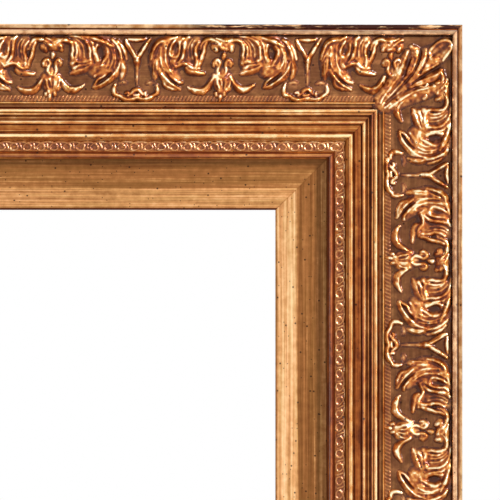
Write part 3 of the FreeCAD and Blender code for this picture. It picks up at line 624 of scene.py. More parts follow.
# Cast ornament: strokes with stations (along, row, half width, height). Along and row
# are photograph pixels from the bellflower's or stem's middle and from the frieze's
# outer edge; half widths are pixels too, and heights are millimetres. Masses are the
# casting's body, cuts hollow it and veins stand on it.
SCROLL_RIGHT = (
    ("mass", (
        ((5, 8.5, 2.2, 2.4), (9, 6.3, 1.9, 2.5), (13.5, 5.6, 1.9, 2.5), (17.5, 6.8, 1.9, 2.4),
         (20.3, 10, 1.8, 2.3), (21.2, 15, 1.8, 2.1), (20.4, 20, 1.8, 2.0), (21.2, 25, 2.0, 1.9)),
        ((19, 6.5, 1.5, 1.7), (22.4, 9, 1.7, 2.0), (24.4, 13.5, 1.8, 2.2), (24.6, 18, 1.7, 2.1),
         (23.6, 23, 1.9, 2.0), (22.4, 27, 2.6, 2.1)),
        ((25, 6, 4.5, 1.1), (29, 12, 7.5, 1.3), (30, 20, 8.5, 1.4), (29, 27, 8.5, 1.9)),
        ((35, 5, 4.6, 1.7), (40, 11, 5.4, 2.0), (41, 20, 6.2, 2.1), (44, 29, 6.0, 2.0)),
        ((48, 7, 6.0, 2.0), (57, 12, 6.8, 2.1), (61, 20, 8.2, 2.2), (59, 29, 8.6, 2.3), (52, 33, 8.0, 2.3),
         (44, 34, 6.4, 2.1)),
        ((18.5, 1.6, 1.1, 0.9), (25, 2.2, 1.6, 1.5), (31, 4.6, 2.0, 2.2), (35, 8.4, 2.1, 2.5),
         (37.2, 13, 2.1, 2.7), (37.6, 19, 2.1, 2.6), (38, 25, 2.4, 2.3)),
        ((29, 1.2, 1.1, 1.2), (35, 3.6, 1.7, 1.9), (39.6, 8, 1.9, 2.2), (41.2, 14, 1.8, 2.3),
         (42.2, 20, 1.8, 2.3), (45.4, 26, 1.8, 2.1)),
        ((33, 1.2, 1.2, 1.2), (40, 3.4, 2.4, 2.2), (47, 5.6, 3.0, 2.7), (54, 8.4, 3.0, 2.9),
         (60, 11.4, 2.4, 2.4)),
        ((44.4, 9.5, 1.7, 2.2), (43.2, 15, 1.7, 2.2), (44.2, 21, 1.7, 2.2), (46.6, 25.6, 1.6, 2.0)),
        ((53, 11, 2.0, 2.2), (55.4, 16, 2.2, 2.4), (54.6, 21, 2.2, 2.4), (51.8, 26, 2.0, 2.3),
         (49, 31, 1.7, 2.1)),
        ((21, 27.6, 2.6, 2.4), (24.5, 26, 2.2, 2.3), (29.5, 27.4, 3.0, 2.6), (34.5, 26, 3.0, 2.6),
         (38, 24.5, 2.2, 2.2)),
        ((22.6, 33, 2.4, 2.3), (27, 30.6, 2.4, 2.5), (32.5, 30, 2.6, 2.4), (38.5, 28, 2.6, 2.3)),
        ((19.4, 38.2, 1.5, 1.2), (23, 36.4, 2.8, 2.0), (28, 35, 3.2, 2.2), (33, 33.4, 3.2, 2.2),
         (38, 30.6, 2.6, 2.0)),
        ((59.4, 5.2, 1.9, 1.9), (63.6, 9, 2.4, 2.5), (66.4, 14, 2.4, 2.6), (68.2, 20, 2.2, 2.5),
         (69.4, 26, 1.8, 2.0)),
        ((64.4, 6.6, 1.6, 1.8), (68.6, 12, 2.0, 2.2), (71.4, 17.6, 2.0, 2.2), (73.2, 23.4, 1.4, 1.6)),
        ((68.2, 24, 2.6, 2.0), (66.4, 30, 3.4, 2.2), (64.4, 36, 3.6, 2.2), (60, 41, 3.0, 2.3),
         (55, 45.4, 2.5, 2.3), (49, 49.6, 2.2, 2.2), (44, 51.4, 1.7, 1.8), (41.4, 51.6, 1.2, 1.2)),
        ((41.6, 51.2, 1.3, 1.4), (43.4, 47.4, 1.5, 1.9), (46.4, 44.0, 1.6, 1.9), (50.4, 41.6, 1.6, 1.8),
         (55, 38.6, 1.8, 1.8)),
        ((42.6, 41, 1.6, 1.4), (46.4, 38, 2.6, 1.8), (52, 35, 3.4, 1.9)),
        ((69.4, 27, 2.8, 2.0), (70.2, 33, 2.9, 2.1), (69.4, 38.6, 2.5, 1.7), (68.2, 43.4, 1.2, 0.8)),
        ((67, 47.4, 1.3, 0.5), (70.6, 46.8, 1.6, 0.7), (74, 47.6, 1.2, 0.5)))),
    ("cut", (
        ((48.4, 12.4, 2.4, 1.6), (47.8, 16.6, 3.1, 2.2), (48.2, 21, 2.3, 1.8)),
        ((44.6, 49, 0.8, 1.5), (49, 46, 1.9, 2.1), (54, 42, 1.9, 2.0), (58, 38, 1.2, 1.2)),
        ((27.4, 8.5, 1.9, 0.5), (30.4, 14, 2.8, 0.8), (31, 20, 2.8, 0.8), (29.6, 24, 1.8, 0.5)),
        ((39.3, 11, 0.7, 0.9), (40.0, 16, 0.8, 1.2), (40.4, 22, 0.8, 1.0), (42.5, 27.4, 0.8, 1.0)),
        ((63, 14, 1.0, 0.8), (64.6, 20, 1.3, 1.1), (64.8, 26, 1.0, 0.8)),
        ((66.6, 9.6, 0.7, 0.8), (69.4, 15.4, 0.8, 1.0), (71, 21, 0.7, 0.8)),
        ((22, 29.8, 0.7, 0.9), (27, 29.0, 0.7, 1.0), (33, 28.4, 0.7, 0.8)),
        ((24, 34.6, 0.6, 0.7), (30, 32.6, 0.7, 0.9), (36.4, 30.2, 0.6, 0.7)),
        ((37, 5.8, 0.6, 0.6), (43, 7.6, 0.8, 0.8), (49, 10.4, 0.8, 0.8)),
        ((67.8, 29, 0.6, 0.8), (67.4, 35, 0.7, 1.0), (66.6, 40, 0.6, 0.8)),
        ((22.4, 11.4, 0.6, 0.8), (22.9, 16, 0.7, 0.9), (22.2, 21.4, 0.6, 0.8)))),
    ("vein", (
        ((24.6, 4.4, 0.9, 0.5), (29, 9, 1.0, 0.7), (31.6, 15, 1.0, 0.7), (31.8, 22, 0.9, 0.5)),
        ((21.4, 5, 0.8, 0.4), (25.6, 9.4, 1.0, 0.7), (28, 15, 1.0, 0.7), (28, 21, 0.9, 0.5)),
        ((31.8, 6, 1.0, 0.5), (35.6, 10, 1.2, 0.7), (37.4, 16, 1.2, 0.7), (37.6, 23, 1.1, 0.5)),
        ((39.4, 3.4, 1.1, 0.4), (46.4, 5.6, 1.6, 0.7), (53, 8.6, 1.7, 0.8), (60, 11.6, 1.3, 0.5)),
        ((49.4, 4.8, 1.0, 0.4), (53.8, 7.2, 1.2, 0.6), (57.4, 11.4, 1.2, 0.6), (58.6, 16, 1.0, 0.4)),
        ((58.4, 14, 1.0, 0.5), (60.4, 20, 1.1, 0.7), (60, 27, 1.1, 0.7), (57, 33.4, 1.0, 0.5)),
        ((55.8, 20, 1.0, 0.4), (56.4, 26, 1.0, 0.6), (53.4, 32, 1.0, 0.5)),
        ((62.4, 20, 1.0, 0.4), (63, 27, 1.1, 0.6), (61.4, 33, 1.0, 0.5)),
        ((61.6, 6.8, 1.1, 0.4), (65.6, 12.4, 1.3, 0.7), (68.2, 19, 1.2, 0.7), (69.4, 25, 1.0, 0.4)),
        ((64.2, 35, 1.0, 0.4), (60.6, 39.6, 1.1, 0.8), (55.6, 44, 1.2, 0.9), (50, 48, 1.2, 0.9),
         (44.4, 50.8, 1.0, 0.7), (41.8, 51.4, 0.9, 0.5)),
        ((42.6, 49.6, 1.0, 0.4), (44.4, 46, 1.1, 0.6), (48, 43, 0.9, 0.3)),
        ((70, 28, 0.9, 0.4), (71.6, 33, 1.0, 0.6), (70.6, 39, 0.9, 0.4)),
        ((67.4, 26, 1.0, 0.4), (65.6, 32, 1.1, 0.7), (63.4, 37, 1.0, 0.4)),
        ((43, 32, 1.2, 0.3), (50, 30.4, 1.4, 0.4), (57, 30.4, 1.3, 0.3)))),
)
SCROLL_LEFT = (
    ("mass", (
        ((4, 9.4, 2.2, 2.4), (8.4, 5.6, 1.9, 2.5), (13, 4.6, 1.9, 2.5), (17.4, 6.4, 2.0, 2.4),
         (20.6, 10, 2.0, 2.2), (22, 14, 1.8, 1.9)),
        ((16, 7.6, 1.5, 1.9), (18.2, 11.4, 1.8, 2.1), (18.8, 16, 1.8, 2.1), (20.2, 21, 1.9, 2.1),
         (22.6, 26, 2.1, 2.1), (23.4, 29.6, 1.8, 1.7)),
        ((23.4, 7.6, 1.7, 1.9), (26.2, 12, 1.9, 2.2), (27, 17.6, 1.9, 2.3), (25.8, 23, 2.0, 2.4),
         (25.4, 28, 2.2, 2.5), (26.2, 32, 2.2, 2.3)),
        ((26, 6, 4.4, 1.2), (31, 12, 6.4, 1.3), (32, 20, 6.6, 1.4), (32, 27, 6.6, 1.7)),
        ((43, 6, 4.6, 1.5), (46, 14, 6.4, 1.6), (47, 22, 7.0, 1.9), (48, 28, 6.6, 2.0)),
        ((53, 8, 5.8, 2.0), (60, 14, 7.4, 2.2), (61.5, 22, 7.8, 2.3), (60, 30, 8.0, 2.4),
         (54, 36, 7.0, 2.3), (48, 41, 4.4, 1.9), (43, 44, 2.2, 1.2)),
        ((34, 2.4, 1.8, 1.7), (37, 6, 2.6, 2.3), (38.2, 12, 2.7, 2.6), (38.6, 18, 2.4, 2.6),
         (40.2, 23.6, 2.2, 2.4), (43.6, 27.6, 2.0, 2.2)),
        ((38.6, 4.4, 2.0, 1.9), (41.6, 8, 1.9, 2.2), (42.0, 14, 1.7, 2.2), (43.2, 19, 1.8, 2.2),
         (46, 22.4, 1.9, 2.2), (50, 21.6, 1.8, 2.2), (52, 18, 1.9, 2.3), (50.8, 13, 2.0, 2.4),
         (48.4, 8, 2.0, 2.3), (46, 4.6, 1.6, 1.6)),
        ((23.6, 32.6, 1.9, 2.0), (27.4, 33.2, 2.4, 2.5), (31.6, 31.4, 2.2, 2.6), (35.4, 28.8, 2.1, 2.6),
         (39.6, 28.2, 2.1, 2.6), (43.6, 30.0, 2.1, 2.4), (48, 32.0, 1.8, 2.0)),
        ((17.6, 38.6, 1.2, 1.2), (21.6, 38.0, 1.8, 1.8), (27, 37.0, 2.6, 2.1), (32.6, 35.6, 2.4, 2.0),
         (35.6, 32.4, 1.8, 1.7)),
        ((46, 2.6, 1.8, 1.7), (52, 4.6, 2.3, 2.3), (57, 6.2, 2.8, 2.6), (62, 7.0, 2.8, 2.8),
         (66, 11.0, 2.4, 2.8), (68.8, 17.4, 2.0, 2.5), (70.4, 24, 1.5, 1.7)),
        ((61.6, 12, 1.6, 2.0), (64.4, 17, 1.7, 2.2), (67.0, 22, 1.6, 2.1), (69, 26, 1.2, 1.4)),
        ((65.4, 25, 2.8, 2.3), (65.6, 30, 3.2, 2.6), (65.8, 35, 3.2, 2.4), (66.6, 40, 2.6, 1.9),
         (66.6, 44, 1.3, 0.9)),
        ((62, 34, 3.2, 2.0), (60, 38.6, 2.8, 2.2), (56.6, 43, 2.6, 2.4), (51.6, 48, 2.6, 2.4),
         (46.4, 51.4, 2.1, 2.1), (41.4, 53.8, 1.2, 1.2)),
        ((57.6, 45, 1.6, 1.5), (55.4, 50, 1.7, 1.7), (50.6, 52.6, 1.7, 1.7), (45.4, 54, 1.2, 1.2)),
        ((39.8, 47.2, 1.3, 1.5), (43.4, 46.6, 1.7, 2.0), (47.4, 43.6, 1.7, 2.0), (51.2, 39.8, 1.7, 1.9),
         (54, 35.6, 1.7, 1.8)),
        ((67, 47.6, 1.3, 0.5), (70.6, 47.0, 1.6, 0.7), (74, 47.8, 1.2, 0.5)))),
    ("cut", (
        ((45.8, 9.6, 2.0, 1.5), (46.6, 14, 2.7, 2.1), (47.6, 17.6, 2.4, 1.9)),
        ((43.4, 50.6, 0.8, 1.3), (48.6, 47.0, 1.4, 2.0), (53, 42.4, 1.6, 2.0), (56.4, 37.4, 1.0, 1.3)),
        ((30, 7, 1.7, 0.6), (31.6, 13, 2.6, 0.8), (31.6, 20, 2.8, 0.9), (30.8, 26.4, 2.0, 0.9)),
        ((39.9, 10, 0.7, 1.0), (40.4, 16, 0.8, 1.2), (42.4, 22, 0.9, 1.3), (45.4, 26, 0.8, 1.0)),
        ((22.4, 12.4, 1.0, 1.0), (23.2, 17.4, 1.4, 1.2), (22.8, 21.4, 0.8, 0.9)),
        ((63.2, 13.4, 0.9, 0.9), (65.8, 19, 1.0, 1.2), (67.4, 23, 0.8, 0.8)),
        ((49, 5.4, 0.7, 0.7), (52.6, 9, 0.8, 0.9), (54, 14, 0.7, 0.7)),
        ((57.6, 10.4, 0.8, 0.6), (58.6, 18, 0.9, 0.8), (58, 26, 0.8, 0.6)),
        ((45.6, 34.4, 1.4, 1.1), (42, 33.4, 1.8, 1.1), (38, 32.6, 1.6, 0.9)),
        ((52.4, 24, 0.8, 0.7), (52.8, 29, 0.9, 0.9), (50.2, 34.4, 0.9, 0.9)),
        ((62.4, 27, 0.7, 0.8), (62, 33, 0.7, 0.9)))),
    ("vein", (
        ((30, 4.4, 0.9, 0.5), (32.8, 9, 1.0, 0.6), (34, 15, 1.0, 0.6), (33.4, 22, 0.9, 0.5)),
        ((27.6, 5.4, 0.9, 0.4), (30, 10, 1.0, 0.6), (30.4, 17, 1.0, 0.6), (28.8, 24, 0.9, 0.4)),
        ((36.6, 8, 1.3, 0.5), (37.6, 14, 1.7, 0.9), (38, 20, 1.5, 0.8), (39.4, 24, 1.1, 0.4)),
        ((47.6, 6.6, 1.0, 0.4), (50, 10.4, 1.2, 0.8), (51.6, 15, 1.1, 0.6)),
        ((55.4, 13, 0.9, 0.4), (56, 20, 1.0, 0.6), (55.6, 27, 1.0, 0.6), (53, 33.4, 1.0, 0.5),
         (48.6, 38.4, 0.9, 0.4)),
        ((60.4, 13, 0.9, 0.4), (61, 21, 1.0, 0.6), (60.2, 29, 1.0, 0.6), (57.4, 35, 0.9, 0.4)),
        ((57.6, 5.8, 1.2, 0.3), (62.4, 7.4, 1.6, 0.7), (66.4, 12, 1.3, 0.8), (69, 18.4, 1.1, 0.6)),
        ((64.4, 25.6, 1.0, 0.4), (64.8, 30, 1.4, 0.7), (64.6, 34.4, 1.0, 0.4)),
        ((67.6, 27, 0.9, 0.3), (68, 33, 1.0, 0.6), (67.6, 39, 0.9, 0.4)),
        ((60, 38, 1.0, 0.4), (56.6, 42, 1.1, 0.8), (52, 46.8, 1.2, 0.9), (46.8, 50.4, 1.1, 0.8),
         (42, 53, 0.9, 0.4)),
        ((41, 47, 0.9, 0.4), (44.6, 45.8, 1.0, 0.6), (48, 42.8, 0.9, 0.4)),
        ((49, 28, 1.0, 0.4), (46.4, 32, 1.0, 0.6), (45, 36, 0.9, 0.3)))),
)
FLOWER = (
    ("mass", (
        ((0, 42, 6.4, 1.9), (0.4, 49, 5.4, 2.2), (-0.6, 56, 3.0, 1.8)),
        ((-6.0, 28.0, 2.0, 2.0), (-5.6, 29.6, 1.8, 1.9)),
        ((6.2, 28.2, 2.0, 2.0), (5.8, 29.8, 1.8, 1.9)),
        ((0, 34, 2.2, 0.9), (0, 38, 2.4, 1.2)),
        ((-7.6, 11.4, 3.2, 1.9), (-3, 9.6, 4.2, 2.3), (3, 9.0, 4.8, 2.5), (7.6, 11.4, 3.4, 2.0)),
        ((-9.4, 5.6, 1.7, 1.9), (-5.8, 6.4, 2.0, 2.4), (-2.4, 9.6, 2.2, 2.7), (0.6, 12.6, 1.8, 2.5)),
        ((-6, 3.6, 1.1, 1.3), (-2, 5.0, 1.4, 1.8), (2, 6.6, 2.6, 2.5), (6.4, 5.8, 2.2, 2.5),
         (10, 5.6, 1.9, 2.3)),
        ((-6.2, 13.4, 2.0, 2.2), (-5.6, 15.0, 1.9, 2.0)),
        ((-1, 13.4, 2.2, 2.5), (3.6, 13.8, 2.2, 2.5)),
        ((8.8, 12.6, 1.8, 2.2), (9.4, 14.6, 1.8, 2.0)),
        ((1.4, 18.6, 1.7, 2.0), (1.8, 20.6, 2.0, 2.2), (1.0, 23.4, 1.2, 1.3)),
        ((-8.2, 30.4, 1.3, 1.5), (-8.0, 27.4, 1.8, 2.1), (-5.2, 24.9, 1.9, 2.4), (-2.4, 27.4, 1.7, 2.2),
         (-3.2, 31, 1.6, 1.9), (-4.4, 34.6, 1.7, 1.9), (-3.2, 38.4, 1.8, 2.0), (0.2, 40.4, 1.8, 2.1),
         (3.0, 38.6, 1.7, 2.0), (4.2, 34.6, 1.6, 1.9), (3.6, 31, 1.6, 1.9), (3.4, 27.6, 1.7, 2.2),
         (5.8, 25.3, 1.9, 2.4), (8.2, 27.4, 1.8, 2.1), (8.0, 30.2, 1.3, 1.5)),
        ((-6.6, 41.6, 2.8, 2.0), (-3, 44, 4.6, 2.4), (1.6, 45, 5.6, 2.5), (6.2, 42.4, 3.2, 2.2)),
        ((-4.4, 46, 3.6, 2.4), (-3.6, 50.6, 3.4, 2.4), (-2.6, 55, 2.4, 2.0)),
        ((5.2, 46, 4.2, 2.5), (5.4, 50, 3.8, 2.5), (3.8, 54, 2.6, 2.0)),
        ((7.6, 41.6, 1.7, 2.0), (10.4, 46.2, 2.1, 2.4), (13.8, 51.0, 2.4, 2.5), (18.6, 54.2, 2.8, 2.6),
         (24, 53.8, 2.4, 2.3), (29, 51.4, 1.5, 1.7), (31.6, 49.8, 0.9, 1.0)),
        ((-8.0, 41.6, 1.9, 2.0), (-10.6, 46.4, 2.3, 2.4), (-14.4, 51.6, 2.5, 2.5), (-19.6, 55.4, 2.9, 2.6),
         (-25.6, 55.6, 2.6, 2.4), (-30.6, 53.6, 1.8, 1.9), (-33.4, 51.4, 1.0, 1.1)),
        ((-2.8, 55.6, 1.8, 2.2), (-3.0, 57.0, 1.8, 2.1)),
        ((-5.8, 57.6, 1.7, 2.0), (-5.4, 59.4, 1.6, 1.7)),
        ((2.6, 57.0, 1.9, 2.2), (2.8, 58.8, 1.8, 1.9)),
        ((-1.6, 59.6, 1.8, 2.0), (-2.0, 62.2, 1.7, 1.7), (-2.2, 65.0, 1.0, 0.9)))),
    ("cut", (
        ((-5.6, 27.8, 0.8, 0.78), (-5.8, 30.6, 0.9, 0.66)),
        ((5.8, 28.2, 0.8, 0.78), (6.0, 30.8, 0.9, 0.66)),
        ((-3.2, 45.4, 0.8, 0.72), (-2.6, 48.6, 1.1, 1.02), (-1.6, 52.0, 0.8, 0.72)),
        ((0.6, 43.4, 0.6, 0.48), (1.0, 48, 0.8, 0.6), (0.8, 53.4, 0.8, 0.66)),
        ((5.6, 44.6, 0.7, 0.54), (6.0, 48.0, 0.8, 0.66), (4.6, 51.6, 0.7, 0.54)),
        ((-6.6, 45.6, 0.6, 0.48), (-6.0, 49.6, 0.7, 0.6), (-4.6, 53.4, 0.6, 0.42)),
        ((9.4, 46.6, 0.6, 0.42), (9.0, 50.6, 0.8, 0.54)),
        ((-4.2, 7.8, 0.7, 0.54), (-6.2, 9.6, 0.7, 0.54)),
        ((-1.4, 7.0, 0.6, 0.48), (1.2, 10.2, 0.7, 0.48)),
        ((5.8, 10.4, 0.9, 0.42), (6.4, 13.4, 0.7, 0.48)),
        ((-3.4, 12.6, 0.6, 0.48), (-3.6, 15.0, 0.6, 0.42)))),
    ("vein", (
        ((-3.2, 43.6, 0.9, 0.4), (-1.4, 46.4, 1.0, 0.7), (-0.6, 50.4, 0.9, 0.5)),
        ((3.2, 44, 0.9, 0.5), (3.4, 48, 1.0, 0.7), (2.4, 52.4, 0.9, 0.5)),
        ((8.0, 44.4, 0.9, 0.5), (8.0, 48, 1.0, 0.7), (6.6, 51.6, 0.9, 0.4)),
        ((-5.2, 44.6, 0.9, 0.4), (-4.6, 48.6, 1.0, 0.6), (-3.4, 52.6, 0.9, 0.4)),
        ((9.4, 43.6, 0.9, 0.5), (12.4, 48.0, 1.1, 0.7), (16.6, 52.0, 1.3, 0.8), (21.4, 53.0, 1.2, 0.7),
         (27.4, 51.6, 1.0, 0.4)),
        ((-9.6, 43.8, 0.9, 0.5), (-13, 48.8, 1.1, 0.7), (-17.6, 53.2, 1.3, 0.8), (-23, 54.4, 1.2, 0.7),
         (-29.4, 53.0, 1.0, 0.4)),
        ((-8.0, 5.4, 1.0, 0.4), (-4.4, 7.4, 1.2, 0.6), (-1.2, 10.8, 1.2, 0.5)),
        ((2.4, 6.4, 1.4, 0.4), (7.2, 6.2, 1.4, 0.4)))),
)
STEM = (
    ("mass", (
        ((-11, 4.4, 1.2, 1.5), (-9.6, 8.0, 1.7, 2.2), (-7.4, 12.4, 1.8, 2.3), (-4.4, 17.0, 1.8, 2.3),
         (-1.4, 21.6, 2.0, 2.2), (0, 25.4, 2.4, 2.3), (0, 29.0, 2.0, 1.7), (0.2, 34, 1.4, 1.1),
         (0.2, 42, 1.2, 0.8), (0.2, 49.6, 0.9, 0.5)),
        ((12.4, 4.6, 1.1, 1.2), (9.6, 8.4, 1.5, 1.8), (7.2, 12.6, 1.7, 2.0), (4.6, 17.0, 1.7, 2.1),
         (1.6, 21.6, 2.0, 2.2), (0, 25.4, 2.4, 2.3)),
        ((-8, 4.6, 1.2, 1.5), (-2, 5.2, 1.6, 2.0), (3, 5.0, 1.5, 1.8), (8, 4.4, 1.1, 1.2)),
        ((-21.4, 49.4, 1.2, 1.2), (-22.6, 53.6, 1.9, 2.0), (-22.2, 57.6, 2.0, 2.2),
         (-19.4, 59.8, 1.8, 1.9), (-16.4, 60.6, 1.5, 1.6)),
        ((20.2, 49.8, 1.2, 1.2), (20.9, 53.6, 1.8, 2.0), (20.2, 57.4, 1.8, 2.1), (17.2, 59.4, 1.6, 1.9)),
        ((-17.4, 60.4, 1.5, 1.6), (-13.6, 62.8, 2.1, 2.3), (-9.0, 64.2, 2.1, 2.4), (-4.4, 63.6, 2.0, 2.2),
         (0, 62.4, 2.0, 2.2), (4.4, 63.6, 2.0, 2.2), (9.4, 63.6, 2.2, 2.4), (14.0, 62.0, 2.0, 2.2),
         (18.0, 59.4, 1.5, 1.6)),
        ((-11, 57.6, 1.2, 1.6), (-9.0, 57.2, 1.6, 2.0), (-6.8, 59.4, 1.4, 1.8)),
        ((-8.8, 60.6, 1.5, 1.7), (-5.4, 57.8, 1.9, 2.2), (-2.4, 55.0, 1.9, 2.4), (0.8, 54.2, 1.8, 2.4),
         (3.4, 56.4, 1.9, 2.3), (6.0, 58.8, 1.5, 1.8)),
        ((8.6, 57.0, 1.4, 1.8), (8.4, 59.6, 1.4, 1.8)),
        ((-3.0, 59.8, 1.9, 2.2), (1.4, 59.4, 2.1, 2.2)))),
    ("cut", (
        ((-10.4, 7.6, 0.6, 0.8), (-6.8, 14.4, 0.7, 1.0), (-3.4, 20.2, 0.6, 0.7)),
        ((8.6, 11.2, 0.5, 0.5), (5.2, 16.6, 0.6, 0.7), (2.2, 21.6, 0.5, 0.5)),
        ((-13, 60.8, 0.8, 0.7), (-9.4, 62.0, 0.8, 0.8)),
        ((12, 61.0, 0.9, 0.8), (7.0, 61.4, 0.9, 0.9)),
        ((-2.0, 57.6, 0.7, 1.0), (1.4, 57.2, 0.8, 1.1)))),
    ("vein", (
        ((-8.0, 9.0, 1.1, 0.5), (-5.4, 14.0, 1.1, 0.6), (-2.4, 19.6, 1.0, 0.4)),
        ((9.4, 9.2, 1.0, 0.4), (6.2, 14.4, 1.1, 0.6), (3.2, 19.8, 1.0, 0.4)),
        ((0, 23.6, 1.4, 0.5), (0, 27, 1.6, 0.7), (0, 30.4, 1.1, 0.3)),
        ((-14.6, 62.4, 1.1, 0.4), (-9.4, 64.2, 1.2, 0.6), (-4, 63.2, 1.1, 0.4)),
        ((15.6, 61.0, 1.1, 0.4), (9.6, 63.4, 1.3, 0.7), (4, 63.2, 1.1, 0.4)))),
)


def smooth_stations(stations):
    """Points on a smooth curve through a stroke's stations."""
    parts = 5
    points = np.array(stations, float)
    padded = np.vstack([2 * points[0] - points[1], points, 2 * points[-1] - points[-2]])
    curve = []
    for i in range(1, len(padded) - 2):
        before, start, end, after = padded[i - 1:i + 3]
        for part in range(parts):
            t = part / parts
            curve.append(0.5 * (2 * start + (end - before) * t
                                + (2 * before - 5 * start + 4 * end - after) * t ** 2
                                + (3 * start - before - 3 * end + after) * t ** 3))
    curve.append(points[-1])
    curve = np.array(curve)
    curve[:, 2:] = np.maximum(curve[:, 2:], 0.05)
    return curve


# Millimetres to a cell, reaches of the shading in cells, and the level of what is cut away
CELL = 0.34
SHADE_REACH, CREST_REACH = (2.2, 6.0), 1.3
BURIED = -0.13
# Masses: widening, power by which they pile up, least height, and fall outside
WIDEN, PILE, SKIRT, GROUND_DROP = 1.5, 4, 0.1, 0.7
# Random shift of strokes and stations in pixels, and spread of heights
STROKE_SHIFT, STATION_SHIFT, HEIGHT_SPREAD = 0.22, 0.16, 0.08
# Base tones of castings and strips, and painted light added to the right leg's castings
CAST_TONE, STRIP_TONE, RIGHT_PAINTED_LIFT = 0.385, 0.36, 0.05


def stroke_field(kind, stations, along, row):
    """Height of one stroke over a grid. A mass is a rounded ridge that falls below the ground."""
    curve = smooth_stations(stations)
    best = np.full(along.shape, -GROUND_DROP if kind == "mass" else 0.0)
    for start, end in zip(curve[:-1], curve[1:]):
        run = end[:2] - start[:2]
        reach = run @ run
        if reach < 1e-9:
            continue
        part = np.clip(((along - start[0]) * run[0] + (row - start[1]) * run[1]) / reach, 0, 1)
        away = np.hypot(along - start[0] - part * run[0], row - start[1] - part * run[1])
        half = start[2] + part * (end[2] - start[2])
        height = start[3] + part * (end[3] - start[3])
        if kind == "mass":
            half = half * WIDEN
        share = away / half
        if kind == "mass":
            body = np.clip(1 - share ** 1.8, 0, 1) ** 0.9
            inside = height * (0.84 * body + 0.16 * np.exp(-(share / 0.35) ** 2) * (share < 1))
            here = np.where(share < 1, inside, -np.minimum((away - half) * 0.9, GROUND_DROP))
        elif kind == "cut":
            here = height * np.exp(-share ** 2)
        else:
            here = height * np.clip(1 - share ** 2, 0, 1)
        best = np.maximum(best, here)
    return best


def relief(groups, along, row, seed):
    """Height over the ground of a casting drawn by strokes, on a grid of pixels."""
    local = np.random.default_rng(seed)
    fields = {"mass": [np.full(along.shape, -GROUND_DROP)], "cut": [0 * along], "vein": [0 * along]}
    for kind, strokes in groups:
        for stations in strokes:
            stations = np.array(stations, float)
            stations[:, :2] += local.normal(0, STROKE_SHIFT, 2)
            stations[:, :2] += local.normal(0, STATION_SHIFT, (len(stations), 2))
            stations[:, 3] *= 1 + local.normal(0, HEIGHT_SPREAD)
            fields[kind].append(stroke_field(kind, stations, along, row))
    masses, cuts, veins = (np.max(fields[kind], axis=0) for kind in ("mass", "cut", "vein"))
    piled = sum(np.maximum(field, 0) ** PILE for field in fields["mass"])
    masses = np.where(masses > 0, piled ** (1 / PILE), masses + 0.55)
    masses = np.where((masses > 0) & (masses < SKIRT), SKIRT * 0.8, masses)
    covered = np.clip(masses / 0.6, 0, 1)
    carved = masses + veins * covered * 0.8 - cuts * covered * 0.6
    carved = np.where(masses > 0, np.maximum(carved, 0.12 * covered), carved)
    for cells, depth in ((4, 0.07), (8, 0.10)):
        count = (along.shape[0] // cells, along.shape[1] // cells)
        rough = smooth_noise(along.shape, count, seed + cells)
        carved += rough * depth * covered * np.maximum(masses, 0.4)
    return blurred(carved, 0.5)


def shades(height, fall_axis, seed, rub=0.75):
    """Tone and bronze of a relief: rubbed gold with painted highlights on its crests and proud parts, brown
    in its hollows with painted shade there, on the sides that fall away and at its foot.
    """
    solid = np.maximum(height, 0)
    near = solid - blurred(solid, SHADE_REACH[0])
    wide = solid - blurred(solid, SHADE_REACH[1])
    # Painted highlight along the crests, partly rubbed gold
    painted_crest_highlight = np.clip((solid - blurred(solid, CREST_REACH)) * 1.1, -0.2, 0.24) * np.clip(solid, 0, 1)
    patchy = 0 * solid
    for cells, depth in ((5, 0.17), (14, 0.14)):
        count = (solid.shape[0] // cells, solid.shape[1] // cells)
        patchy += smooth_noise(solid.shape, count, seed + 50 + cells) * depth
    # Painted highlight on proud parts and painted shade in hollows
    proud = near * 1.1 + wide * 0.3
    # Painted shade, warmer and darker, on the sides that fall away along fall_axis and at the foot where the
    # relief meets the ground
    slopes = np.gradient(height, CELL)
    fall = -slopes[1] if fall_axis == 1 else (slopes[0] - slopes[1]) * 0.7
    painted_shade_side = np.clip(fall * 0.6, 0, 0.6)
    foot = np.exp(-(solid / 0.3) ** 2)
    painted_shade_side = np.maximum(painted_shade_side, foot * 0.45)
    tone = CAST_TONE + np.clip(proud * 0.4, -0.22, 0.18) + painted_crest_highlight - painted_shade_side * 0.25 - foot * 0.28
    tone += patchy * np.clip(solid, 0.35, 1)
    bronze = np.clip(1.1 - solid * rub - np.maximum(proud, 0) * 0.5 - painted_shade_side * 0.8, 0, 1)
    return tone, bronze


def under_rim(level):
    """Levels that ease off so that no casting stands above the rim bead."""
    ease = 0.9
    start = RIM_TOP - 0.05 - ease
    return np.where(level > start, start + ease * np.tanh((level - start) / ease), level)


def shown(height, order):
    """The points of a relief that come above the ground, and its quads with corners in an order."""
    quads = grid_quads(*height.shape)[:, order]
    quads = quads[height.ravel()[quads].max(axis=1) > BURIED]
    used, quads = np.unique(quads, return_inverse=True)
    return used, quads.reshape(-1, 4)


def add_ornament(name, points, quads, tone, bronze, spots, replaces, square=None):
    """Gilded ornament with its places on the leg, and in a bake square of its own if given."""
    square = spots if square is None else square
    add_mesh(name, points, quads, [ornament_gilt], "frame", replaces, 0,
             {"tone": tone, "bronze": bronze, "wear": np.zeros(len(spots))},
             {"OFBake": bake_shares(square), "leg": spots * MM})


